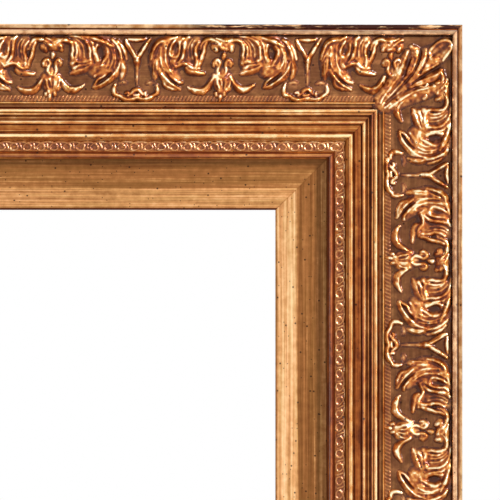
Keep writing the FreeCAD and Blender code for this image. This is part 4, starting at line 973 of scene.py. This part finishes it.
class Casting:
    """A casting on a grid over the frieze, kept as a height field."""

    def __init__(self, strokes, start, end, seed):
        step = CELL / PX
        self.along_px = np.arange(start, end + step, step)
        self.row_px = np.arange(0.6, 67.0, step)
        along, row = np.meshgrid(self.along_px, self.row_px, indexing="ij")
        self.height = relief(strokes, along, row, seed)
        self.paint = np.stack(shades(self.height, 1, seed), axis=-1).reshape(-1, 2)

    def block(self, leg, middle, scale, mirrored):
        """Points, quads, tone with bronze, and leg places of this casting on a leg."""
        along = middle + (-1 if mirrored else 1) * self.along_px[:, None] * scale
        u = ROW_START + self.row_px * PX
        points = on_leg(leg, along, u, under_rim(frieze_level(u) + self.height)).reshape(-1, 3)
        used, quads = shown(self.height, (0, 3, 2, 1) if mirrored else (1, 2, 3, 0))
        # Painted light: the right leg's castings are lightened for how the key light falls on that leg
        painted_lift = (RIGHT_PAINTED_LIFT if leg == "right" else 0.0, 0.0)
        return points[used], quads, self.paint[used] + painted_lift, paired(along, u)[used]


def add_castings(name, blocks, replaces):
    """The castings of one kind on a stretch of a leg, as one piece."""
    points, quads = gathered([block[:2] for block in blocks])
    paint, spots = (np.vstack([block[i] for block in blocks]) for i in (2, 3))
    add_ornament(name, points, quads, paint[:, 0], paint[:, 1], spots, replaces)


def stem_places(leg):
    """Where a leg's stems stand, as on the solids."""
    outermost = LEGS[leg][2] / 2 - CORNER_TO_STEM[leg]
    places = [outermost - i * REPEAT for i in range(3)]
    middle = [0.0] if places[-1] > REPEAT / 2 else []
    return [-place for place in places] + middle + places[::-1]


# The corner leaf, with stations across and down in the photograph's pixels
CORNER_LEAF = (
    ("mass", (
        ((381, 103, 4.5, 1.8), (388, 97, 8, 2.6), (397, 90, 10, 2.9), (408, 80, 12, 3.0),
         (420, 68, 12, 3.0), (431, 57, 8, 2.6), (440, 49, 5, 2.0)),
        ((380, 102, 3.5, 2.0), (386, 106.5, 4.5, 2.4), (394, 105.5, 5, 2.6), (401, 100, 6, 2.8)),
        ((379, 98, 3, 1.8), (385, 91.5, 3.5, 2.2), (393, 82, 4, 2.7), (400, 72, 4.4, 2.9),
         (404, 62, 3.8, 2.6), (408, 52, 2.4, 1.6)),
        ((402, 82, 4, 2.6), (409, 70, 4.5, 2.9), (414, 60, 4.5, 2.8), (416, 51.5, 3.8, 2.4),
         (412, 47.5, 2.6, 1.8)),
        ((414, 76, 4, 2.8), (420, 66, 4, 2.9), (424, 56, 3, 2.4), (426, 49.5, 2, 1.6)),
        ((424, 70, 3.5, 2.6), (432, 62, 5, 3.0), (438, 55, 6.6, 3.0), (444, 49, 7.2, 3.0),
         (447, 46, 6, 2.8)),
        ((412, 88, 4, 2.7), (424, 82, 4.6, 2.8), (434, 77, 4.2, 2.6), (441, 72, 3, 2.0)),
        ((392, 104, 4.5, 2.6), (404, 98.5, 6, 3.0), (416, 94, 6.2, 3.0), (428, 90, 5.6, 2.8),
         (437, 87, 4.4, 2.5), (442, 84, 3.2, 2.1)),
        ((441.5, 73, 2.4, 2.2), (442.6, 78, 2.6, 2.4), (441, 83, 2.4, 2.2)),
        ((444.5, 84, 2.0, 1.8), (445.6, 89, 2.2, 2.0), (443.5, 94.5, 2.6, 1.8), (439, 97, 2, 1.2)))),
    ("cut", (
        ((391, 93, 0.9, 1.4), (398, 85, 1.4, 1.9), (404, 76, 1.7, 2.2), (407.6, 66, 1.7, 2.1),
         (411, 57, 1.1, 1.3)),
        ((404, 84, 1.2, 1.7), (411, 76, 1.6, 2.1), (416, 68, 1.5, 2.0), (419.6, 59, 1.3, 1.7),
         (421, 50, 1.0, 1.2)),
        ((420, 73, 1.0, 1.2), (425, 64, 1.1, 1.4), (428.4, 56, 0.9, 1.2)),
        ((433.5, 55.5, 1.8, 1.5), (438, 52, 3.0, 2.2), (443, 48.6, 3.2, 2.2), (447, 45.4, 2.0, 1.5)),
        ((412, 83.5, 1.0, 1.2), (422, 76.5, 1.3, 1.7), (432, 70.5, 1.4, 1.8), (440, 65.5, 1.2, 1.5)),
        ((386, 101.5, 1.1, 1.6), (393, 95, 1.5, 2.0), (400, 88, 1.6, 2.2), (406, 81, 1.3, 1.7)),
        ((391, 103, 0.8, 1.1), (400, 95.6, 1.1, 1.5), (410, 89.6, 1.2, 1.5), (424, 86.5, 1.2, 1.4),
         (436, 82.4, 1.1, 1.2)),
        ((386, 106, 0.7, 0.8), (394, 98.6, 0.9, 1.1), (402, 92.4, 0.8, 0.9)))),
    ("mass", (
        ((440.2, 47.2, 1.9, 2.3), (441.8, 46.0, 1.9, 2.3)),)),
    ("vein", (
        ((381, 103, 1.2, 0.6), (384, 97, 1.4, 0.9), (389, 90, 1.5, 1.0), (393, 84, 1.5, 1.0),
         (398, 77.6, 1.3, 0.7)),
        ((398, 76, 1.8, 0.5), (401, 68, 2.2, 0.9), (404.5, 60, 1.8, 0.9), (407.4, 52, 1.3, 0.5)),
        ((383.5, 104, 1.1, 0.6), (389, 98.4, 1.3, 0.9), (395, 92.4, 1.2, 0.6)),
        ((411.5, 73, 1.2, 0.5), (415, 64.5, 1.4, 0.9), (417.4, 57, 1.5, 0.9), (417, 50.6, 1.3, 0.6)),
        ((422.4, 66, 1.1, 0.5), (424.8, 57.5, 1.3, 0.8), (426.2, 51, 1.1, 0.5)),
        ((429.6, 57, 1.6, 0.7), (429.8, 51, 2.0, 1.2), (434, 45.6, 2.0, 1.3), (439.4, 41.8, 1.9, 1.3),
         (445, 40.4, 1.9, 1.3), (450, 41.8, 1.8, 1.2), (451.6, 45.4, 1.8, 1.2), (449.8, 50.4, 1.9, 1.2),
         (446.4, 55.4, 1.8, 1.1), (443, 60.4, 1.5, 0.8)),
        ((422.6, 72.4, 1.2, 0.6), (428, 69.2, 1.4, 1.0), (433, 66.6, 1.4, 0.9), (438, 64.0, 1.2, 0.5)),
        ((385.6, 107, 1.1, 0.6), (393, 100, 1.3, 0.9), (400, 94.2, 1.3, 0.9), (407, 89, 1.1, 0.5)),
        ((413, 84.6, 1.1, 0.4), (424, 79.6, 1.3, 0.8), (434, 75.8, 1.3, 0.8), (440.6, 71.6, 1.2, 0.5)),
        ((389.6, 108.6, 1.2, 0.6), (398, 102, 1.4, 0.9), (406.4, 96.2, 1.4, 0.9), (416, 91.2, 1.3, 0.8),
         (426, 88.8, 1.3, 0.7), (435, 86.4, 1.2, 0.4)),
        ((441.4, 73, 1.2, 0.5), (443.4, 77.6, 1.3, 0.7), (441.4, 82, 1.2, 0.5)),
        ((444.6, 84, 1.1, 0.5), (446.4, 89, 1.3, 0.7), (444.6, 94, 1.2, 0.5)))),
)
# The half bellflower beside a corner leaf
END_FLOWER = [(kind, [stations for stations in strokes
                     if all(row < 41 or along > 6 for along, row, _, _ in stations)])
              for kind, strokes in FLOWER]
KINDS = 3

scrolls = {False: [Casting(SCROLL_RIGHT, 1.0, 77.0, 300 + i) for i in range(KINDS)],
           True: [Casting(SCROLL_LEFT, 1.0, 77.0, 310 + i) for i in range(KINDS)]}
end_flower = Casting(END_FLOWER, -11.0, 36.0, 331)
flowers = [Casting(FLOWER, -37.0, 36.0, 320 + i) for i in range(KINDS)]
stems = [Casting(STEM, -25.5, 25.5, 340 + i) for i in range(KINDS)]

for leg_number, leg in enumerate(LEGS):
    places = stem_places(leg)
    bounds = [places[0] - REPEAT] + places + [places[-1] + REPEAT]
    acanthus, bells = [], []
    for number, (near, far) in enumerate(zip(bounds, bounds[1:]), leg_number):
        scale, middle = (far - near) / 2 / HALF_PX, (near + far) / 2
        for end, mirrored in ((far, False), (near, True)):
            if end in places:
                acanthus.append(scrolls[mirrored][number % KINDS].block(leg, middle, scale, mirrored))
        bell = flowers[number % KINDS] if near in places and far in places else end_flower
        bells.append(bell.block(leg, middle, scale, far not in places))
    shells = [stems[number % KINDS].block(leg, place, REPEAT / 2 / HALF_PX, False)
              for number, place in enumerate(places, leg_number)]
    half = len(acanthus) // 2
    add_castings("acanthus_scrolls_%s_a" % leg, acanthus[:half], ["acanthus_" + leg])
    add_castings("acanthus_scrolls_%s_b" % leg, acanthus[half:], ["acanthus_" + leg])
    add_castings("bellflower_casts_" + leg, bells, ["bellflowers_" + leg])
    add_castings("shell_casts_" + leg, shells, ["shells_" + leg])


def corner_leaf(name, flip_x, flip_z, replaces, seed):
    """The leaf over one mitre, drawn at the top right corner and mirrored."""
    step = CELL / PX
    across, down = np.meshgrid(np.arange(370.0, 456.6, step), np.arange(36.0, 114.0, step),
                               indexing="ij")
    height = relief(CORNER_LEAF, across, down, seed)
    tone, bronze = shades(height, 0, seed, 0.35)
    aside, below = (CORNER_X - across) * PX, (down - CORNER_Y) * PX
    ground = frieze_level(np.clip(np.minimum(aside, below), FRIEZE_START, FRIEZE_END))
    x = (OUTER_W / 2 - aside) * (-1 if flip_x else 1)
    z = (OUTER_H / 2 - below) * (-1 if flip_z else 1) + MIDDLE_Z
    points = metres(x, -under_rim(ground + height), z).reshape(-1, 3)
    used, quads = shown(height, (0, 1, 2, 3) if flip_x == flip_z else (3, 2, 1, 0))
    add_ornament(name, points[used], quads, tone.ravel()[used], bronze.ravel()[used],
                 paired(aside, below)[used], replaces)


for number, name in enumerate(("top_right", "bottom_right", "top_left", "bottom_left")):
    corner_leaf("leaf_cast_" + name, "left" in name, "bottom" in name, ["corner_leaf_" + name],
                360 + number)

STRIP_CELL = 0.25


def relief_strip(name, leg, start, width, base, field, replaces, seed, bronze, painted_relief_light):
    """A mitred strip with a running relief, given as a field of along and across."""
    columns, stations = int(width / STRIP_CELL) + 1, int(LEGS[leg][2] / STRIP_CELL)
    across = np.linspace(0, width, columns)
    share = np.linspace(-1, 1, stations)[:, None]
    u = start + across
    along = share * (LEGS[leg][2] / 2 - u)
    height = field(along, np.broadcast_to(across, along.shape))
    height = blurred(height + smooth_noise(height.shape, (stations // 12, 4), seed) * 0.03, 0.5)
    height[:, 0] = height[:, -1] = -0.1
    # Painted highlight on the relief's high parts and painted shade in its low parts
    tone = STRIP_TONE + (height - blurred(height, 2.5)) * painted_relief_light
    add_ornament(name, on_leg(leg, along, u, base(u) + height), grid_quads(stations, columns), tone,
                 np.full(tone.size, bronze), paired(along, u), replaces, paired(share, across))


RIB_PITCH, RIB_SLANT, RIB_WIDTH = 1.91, 0.45, 3.5
LOOP_PITCH, LOOP_REACH_ALONG, LOOP_REACH = 6.9, 3.6, 2.2
TICK_START, TICK_END = (-0.4, 1.3), (0.5, 3.9)
CHAIN_WIDTH, CHAIN_WIRE = 5.2, 0.56


def ribs(along, across):
    """Slanted ribs along a strip, in places worn down."""
    local = smooth_noise(along.shape, (along.shape[0] // 30, 3), 17)
    phase = (along + across * RIB_SLANT) / RIB_PITCH
    wave = np.clip(np.cos(2 * math.pi * phase) * 0.7 + 0.3, 0, 1)
    inside = np.clip((across - 0.2) / 0.4, 0, 1) * np.clip((3.3 - across) / 0.3, 0, 1)
    return 0.05 + wave * inside * np.clip(0.40 + local * 0.12, 0.12, 0.6)


def loops(along, across):
    """A running curl: a wire that loops once every pitch, and its bed."""
    wobble = smooth_noise(along.shape, (along.shape[0] // 28, 2), 23)
    turn = np.linspace(-math.pi, 3 * math.pi, 121)
    path_along = LOOP_PITCH * turn / (2 * math.pi) + LOOP_REACH_ALONG * np.sin(turn)
    path_across = CHAIN_WIDTH / 2 - LOOP_REACH * np.cos(turn)
    place = np.mod(along + wobble * 0.3, LOOP_PITCH)
    across = across + wobble * 0.12
    nearest = np.full(along.shape, 9.0)
    for shift in (-LOOP_PITCH, 0.0, LOOP_PITCH):
        for i in range(len(turn) - 1):
            x, y = path_along[i] + shift, path_across[i]
            if not -1 < x < LOOP_PITCH + 1:
                continue
            step_x, step_y = path_along[i + 1] + shift - x, path_across[i + 1] - y
            part = ((place - x) * step_x + (across - y) * step_y) / (step_x ** 2 + step_y ** 2)
            part = np.clip(part, 0, 1)
            away = np.hypot(place - x - part * step_x, across - y - part * step_y)
            nearest = np.minimum(nearest, away)
    beside = np.mod(place + LOOP_PITCH / 2, LOOP_PITCH) - LOOP_PITCH / 2 - TICK_START[0]
    run, rise = TICK_END[0] - TICK_START[0], TICK_END[1] - TICK_START[1]
    above = across - TICK_START[1]
    part = np.clip((beside * run + above * rise) / (run ** 2 + rise ** 2), 0, 1)
    nearest = np.minimum(nearest, np.hypot(beside - part * run, above - part * rise) * 1.1)
    wire = np.clip(1 - (nearest / CHAIN_WIRE) ** 2, 0, 1)
    rough = smooth_noise(along.shape, (along.shape[0] // 4, along.shape[1] // 3), 29)
    return 0.04 + wire * (0.42 + wobble * 0.08) + rough * 0.05


def chain_level(u):
    """The flat bed of the chained strip."""
    return MEMBERS[CHAIN_BED][2] + 0 * u


for number, leg in enumerate(LEGS):
    relief_strip("ribbed_band_" + leg, leg, FRIEZE_END - RIB_WIDTH, RIB_WIDTH, frieze_level, ribs,
                 ["ribbing_" + leg], 400 + number, 0.6, 0.8)
    relief_strip("chain_band_" + leg, leg, CHAIN_START + 0.25, CHAIN_WIDTH, chain_level, loops,
                 ["chain_" + leg], 420 + number, 0.62, 1.4)

# Back hardware, in millimetres
BUTTON_INSET = LINER_START + 12.95
BUTTON_BACK, BUTTON_FACE = 3.9, 2.7
BUTTON_TAIL, BUTTON_REACH, BUTTON_HALF, BUTTON_CORNER = 6.0, 18.0, 5.0, 3.6
HEAD_RADIUS, HEAD_HEIGHT = 3.3, 1.1
HANGER_INSET = WIDTH - REBATE - 15.45
STRAP_LENGTH, STRAP_HALF, STRAP_SHEET, STRAP_CORNER, STRAP_HOLE = 28.0, 5.5, 1.0, 3.0, 20.5
WIRE_RADIUS, WIRE_LEVEL, WIRE_HALF, WIRE_REACH = 1.25, 2.35, 8.5, 15.0
POINT_BACK, POINT_FACE, POINT_START, POINT_LENGTH = 4.0, 3.5, WIDTH - REBATE - 7.0, 16.0
POINT_PLACES = {"top": 170.0, "right": 130.0, "bottom": 170.0, "left": 130.0}
NAIL_LEG, NAIL_HALF, NAIL_PROUD = 6.0, 0.25, 0.06
BUMPER_INSET = 33.0
SLOT_HALF, SLOT_EASE, SLOT_DEPTH = 0.52, 0.16, 0.62
strap_low, strap_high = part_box("hanger_strap_right")
HANGER_Z = (strap_low.z + strap_high.z) / 2 / MM


def rounded(corners, radius, turns=6):
    """A convex outline with its corners rounded."""
    corners = np.array(corners, float)
    outline = []
    for i, here in enumerate(corners):
        before, after = corners[i - 1] - here, corners[(i + 1) % len(corners)] - here
        start = here + before / np.hypot(*before) * radius
        end = here + after / np.hypot(*after) * radius
        for t in np.linspace(0, 1, turns + 1):
            outline.append(start * (1 - t) ** 2 + here * 2 * t * (1 - t) + end * t ** 2)
    return np.array(outline)


def headings(steps):
    """Unit directions of rows of steps."""
    return steps / np.hypot(*steps.T)[:, None]


def around(count):
    """Angles evenly round a circle."""
    return np.linspace(0, 2 * math.pi, count, endpoint=False)


def shrunk(outline, inset):
    """A convex outline moved inwards."""
    along = headings(np.roll(outline, -1, axis=0) - np.roll(outline, 1, axis=0))
    inward = np.stack([-along[:, 1], along[:, 0]], axis=-1)
    if ((outline.mean(axis=0) - outline) * inward).sum() < 0:
        inward = -inward
    return outline + inward * inset


def plate_on_leg(leg, middle, outline, levels):
    """A flat plate on a leg's back: outline round a middle, with inset and level of each edge."""
    rings = []
    for inset, level in levels:
        edge = shrunk(outline, inset)
        rings.append(on_leg(leg, middle[0] + edge[:, 0], middle[1] + edge[:, 1], level))
    return lofted(rings)


def screw_head(leg, along, u, base, turn):
    """A slotted pan head standing on a leg's back from a base level."""
    angles = around(96)

    def ring(radius, level):
        return on_leg(leg, along + radius * np.cos(angles), u + radius * np.sin(angles), level)
    rings = [ring(HEAD_RADIUS * 0.94, base)]
    for share in (1.0, 0.985, 0.95, 0.9, 0.84, 0.77, 0.69, 0.6, 0.5, 0.4, 0.3, 0.2, 0.1):
        radius = HEAD_RADIUS * share
        rise = HEAD_HEIGHT * (0.3 + 0.7 * math.sqrt(1 - share ** 2.6))
        beside = np.abs(radius * np.sin(angles - turn))
        slot = np.clip((SLOT_HALF - beside) / SLOT_EASE, 0, 1) * SLOT_DEPTH
        rings.append(ring(radius, base - np.maximum(rise - slot, 0.2)))
    return lofted(rings)


def add_hardware(name, parts, material, replaces, body="frame"):
    """Hardware as one piece."""
    points, faces = gathered(parts)
    add_mesh(name, points, faces, [material], body, replaces, 30)


button_outline = rounded([(-BUTTON_TAIL, -BUTTON_HALF), (BUTTON_REACH, -BUTTON_HALF),
                          (BUTTON_REACH, BUTTON_HALF), (-BUTTON_TAIL, BUTTON_HALF)], BUTTON_CORNER)
BUTTON_EDGES = ((0.25, BUTTON_BACK), (0.0, BUTTON_BACK - 0.2), (0.0, BUTTON_FACE + 0.3),
                (0.1, BUTTON_FACE + 0.1), (0.35, BUTTON_FACE), (1.5, BUTTON_FACE),
                (1.75, BUTTON_FACE + 0.16))
screw_heads = []
for number, leg in enumerate(LEGS):
    part = plate_on_leg(leg, (0, BUTTON_INSET), button_outline, BUTTON_EDGES)
    add_hardware("turn_plate_" + leg, [part], brass, ["turn_button_" + leg],
                 "turn_button_" + leg)
    screw_heads.append(screw_head(leg, 0, BUTTON_INSET, BUTTON_FACE - 0.1, 0.5 + number * 1.1))
add_hardware("button_screw_heads", screw_heads, steel, ["button_screws"])

point_outline = rounded([(-2, 0), (2, 0), (5, 3), (5, POINT_LENGTH), (-5, POINT_LENGTH), (-5, 3)],
                        0.9, 3)
POINT_EDGES = ((0.1, POINT_BACK), (0.0, POINT_BACK - 0.1), (0.0, POINT_FACE + 0.1),
               (0.1, POINT_FACE), (1.1, POINT_FACE), (1.3, POINT_FACE + 0.1))
point_plates = [plate_on_leg(leg, (side * place, POINT_START), point_outline, POINT_EDGES)
                for leg, place in POINT_PLACES.items() for side in (-1, 1)]
add_hardware("liner_point_plates", point_plates, steel, ["liner_points"])


def nail_tops(insets, level):
    """The backs of V-shaped nails over all four mitres."""
    half, leg = NAIL_HALF, NAIL_LEG
    shape = np.array([(-half, -half), (leg, -half), (leg, half), (half, half), (half, leg), (-half, leg)])
    parts = []
    for inset in insets:
        for side_x, side_z in ((-1, -1), (-1, 1), (1, -1), (1, 1)):
            x = side_x * (OUTER_W / 2 - inset + shape[:, 0])
            z = side_z * (OUTER_H / 2 - inset + shape[:, 1]) + MIDDLE_Z
            parts.append(lofted([metres(x * pinch + x.mean() * (1 - pinch), depth - level,
                                        z * pinch + z.mean() * (1 - pinch))
                                 for depth, pinch in NAIL_RINGS]))
    return parts


NAIL_RINGS = ((-1.5, 1.0), (NAIL_PROUD * 0.4, 1.0), (NAIL_PROUD, 0.985))
add_hardware("frame_nail_backs", nail_tops((14, 32, 50), 0), steel, ["frame_nails"])
add_hardware("liner_nail_backs", nail_tops((LINER_START + 13.05,), LINER_BACK), steel,
             ["liner_nails"])


def ring_wire(axis, sign):
    """The D ring's round wire, with its straight side on the strap's axis."""
    bow = WIRE_REACH - WIRE_HALF
    path = [(0, -WIRE_HALF + 1.2), (0, WIRE_HALF - 1.2), (0.35, WIRE_HALF - 0.35), (1.2, WIRE_HALF)]
    for turn in np.linspace(0, math.pi, 33):
        path.append((bow + WIRE_HALF * math.sin(turn), WIRE_HALF * math.cos(turn)))
    path += [(1.2, -WIRE_HALF), (0.35, -WIRE_HALF + 0.35)]
    path = np.array(path)
    ahead = headings(np.roll(path, -1, axis=0) - np.roll(path, 1, axis=0))
    across, back = WIRE_RADIUS * np.cos(around(20)), WIRE_RADIUS * np.sin(around(20))
    return lofted([metres(axis - sign * (inward - step_down * across), WIRE_LEVEL + back,
                          HANGER_Z + down + step_in * across)
                   for (inward, down), (step_in, step_down) in zip(path, ahead)], True)


def strap_plate(axis, sign):
    """The strap: a tongue with a rounded end, rolled round the ring's straight side."""
    spine = [(STRAP_LENGTH - drop, STRAP_SHEET / 2) for drop in
             (0.05, 0.15, 0.4, 0.8, 1.3, 2.0, 3.0, 6, 10, 14, 18, 22, 26)]
    roll = WIRE_LEVEL - STRAP_SHEET / 2
    for turn in np.linspace(-math.pi / 2, -math.pi * 1.9, 30):
        spine.append((roll * math.cos(turn), WIRE_LEVEL + roll * math.sin(turn)))
    spine = np.array(spine)
    thick, ease = STRAP_SHEET / 2, 0.2
    rings = []
    for (out, level), (step_out, step_level) in zip(spine, headings(np.gradient(spine, axis=0))):
        back = max(0.0, STRAP_CORNER - (STRAP_LENGTH - out)) if level < STRAP_SHEET else 0.0
        half = STRAP_HALF - STRAP_CORNER + math.sqrt(STRAP_CORNER ** 2 - back ** 2)
        down, rise = np.array([(half, -thick + ease), (half, thick - ease), (half - ease, thick),
                               (-half + ease, thick), (-half, thick - ease), (-half, -thick + ease),
                               (-half + ease, -thick), (half - ease, -thick)]).T
        rings.append(metres(axis + sign * (out - step_level * rise), level + step_out * rise,
                            HANGER_Z + down))
    return lofted(rings)


hanger_heads = []
for leg, sign in (("left", -1), ("right", 1)):
    axis = sign * (OUTER_W / 2 - HANGER_INSET)
    add_hardware("hanger_wire_" + leg, [ring_wire(axis, sign)], brass,
                 ["hanger_ring_" + leg], "hanger_ring_" + leg)
    add_hardware("hanger_plate_" + leg, [strap_plate(axis, sign)], brass,
                 ["hanger_strap_" + leg])
    hanger_heads.append(screw_head(leg, sign * (MIDDLE_Z - HANGER_Z), HANGER_INSET - STRAP_HOLE,
                                   -STRAP_SHEET, 0.3 + sign))
add_hardware("hanger_screw_heads", hanger_heads, steel, ["hanger_screws"])

# Radius and height of the bumpers' turned profile
BUMPER_PROFILE = ((6.0, 0.0), (6.0, 0.7), (5.8, 1.2), (5.3, 1.9), (4.6, 2.5), (3.7, 2.88),
                  (2.6, 3.0), (1.5, 3.0), (1.0, 2.9), (0.6, 2.75))
foot_z = TOP_Z - OUTER_H + BUMPER_INSET
bumpers = [lofted([metres(side * (OUTER_W / 2 - BUMPER_INSET) + radius * np.cos(around(64)), height,
                          foot_z + radius * np.sin(around(64))) for radius, height in BUMPER_PROFILE])
           for side in (-1, 1)]
add_hardware("wall_bumper_domes", bumpers, rubber_dull, ["wall_bumpers"])

# Camera: the photograph's view, with its middle pixel at the middle of the lens

PHOTO_SIZE = 500
SENSOR = 36
scene = bpy.context.scene

camera_data = bpy.data.cameras.new("camera")
camera = bpy.data.objects.new("camera", camera_data)
scene.collection.objects.link(camera)
distance = 2.6
# Depth at which the photograph's scale holds
plane = -0.036
yaw = math.radians(2.2)
centre_x = (OUTER_W / 2 - (CORNER_X - PHOTO_SIZE / 2) * PX) * MM
centre_z = (TOP_Z + (CORNER_Y - PHOTO_SIZE / 2) * PX) * MM
camera.location = (centre_x - distance * math.sin(yaw), plane - distance * math.cos(yaw), centre_z)
camera.rotation_euler = (math.pi / 2, 0, -yaw)
camera_data.sensor_width = SENSOR
camera_data.lens = SENSOR * distance / (PHOTO_SIZE * PX * MM)
camera_data.clip_end = 20
scene.camera = camera

# Floor
floor_half = 4.0
floor_level = (TOP_Z - OUTER_H) * MM - 0.0005
floor_mesh = bpy.data.meshes.new("floor")
floor_mesh.from_pydata([(x * floor_half, y * floor_half, floor_level)
                        for x, y in ((-1, -1), (1, -1), (1, 1), (-1, 1))], [], [(0, 1, 2, 3)])
floor = bpy.data.objects.new("floor", floor_mesh)
scene.collection.objects.link(floor)
build = new_material("floor_pale")
build.surface({"Base Color": srgb(226, 224, 220), "Roughness": 0.8})
floor_mesh.materials.append(build.owner)

# Square lights aimed at the frame: name, direction, distance, size, power and colour
LIGHTS = (
    ("key", (1.03, -1.0, 0.72), 2.4, 0.4, 80, (1.0, 0.97, 0.93)),
    ("back", (-0.5, 1.0, 0.7), 2.6, 1.2, 30, (1.0, 0.98, 0.96)),
    ("fill", (-1.0, -0.55, -0.35), 2.4, 1.4, 34, (1.0, 0.95, 0.9)),
)
aim = Vector((0.1, 0, MIDDLE_Z * MM))
for name, direction, away, size, power, colour in LIGHTS:
    data = bpy.data.lights.new(name, "AREA")
    data.shape = "SQUARE"
    data.size = size
    data.energy = power
    data.color = colour
    light = bpy.data.objects.new(name, data)
    light.location = aim + Vector(direction).normalized() * away
    light.rotation_euler = (aim - light.location).to_track_quat("-Z", "Y").to_euler()
    scene.collection.objects.link(light)

# World: white where it is seen, also in reflections, and dimmer as a light
WORLD_LIGHT = 0.36
world = bpy.data.worlds.new("studio")
scene.world = world
build = Nodes(world, "Background")
rays = build.add("ShaderNodeLightPath").outputs
seen = build.math("MAXIMUM", rays["Is Camera Ray"], rays["Is Glossy Ray"])
seen = build.math("MAXIMUM", seen, rays["Is Transmission Ray"])
build.surface({"Color": (1, 1, 1, 1), "Strength": build.spread(seen, 0.0, 1.0, WORLD_LIGHT, 1.0)})

scene.view_settings.view_transform = "Standard"
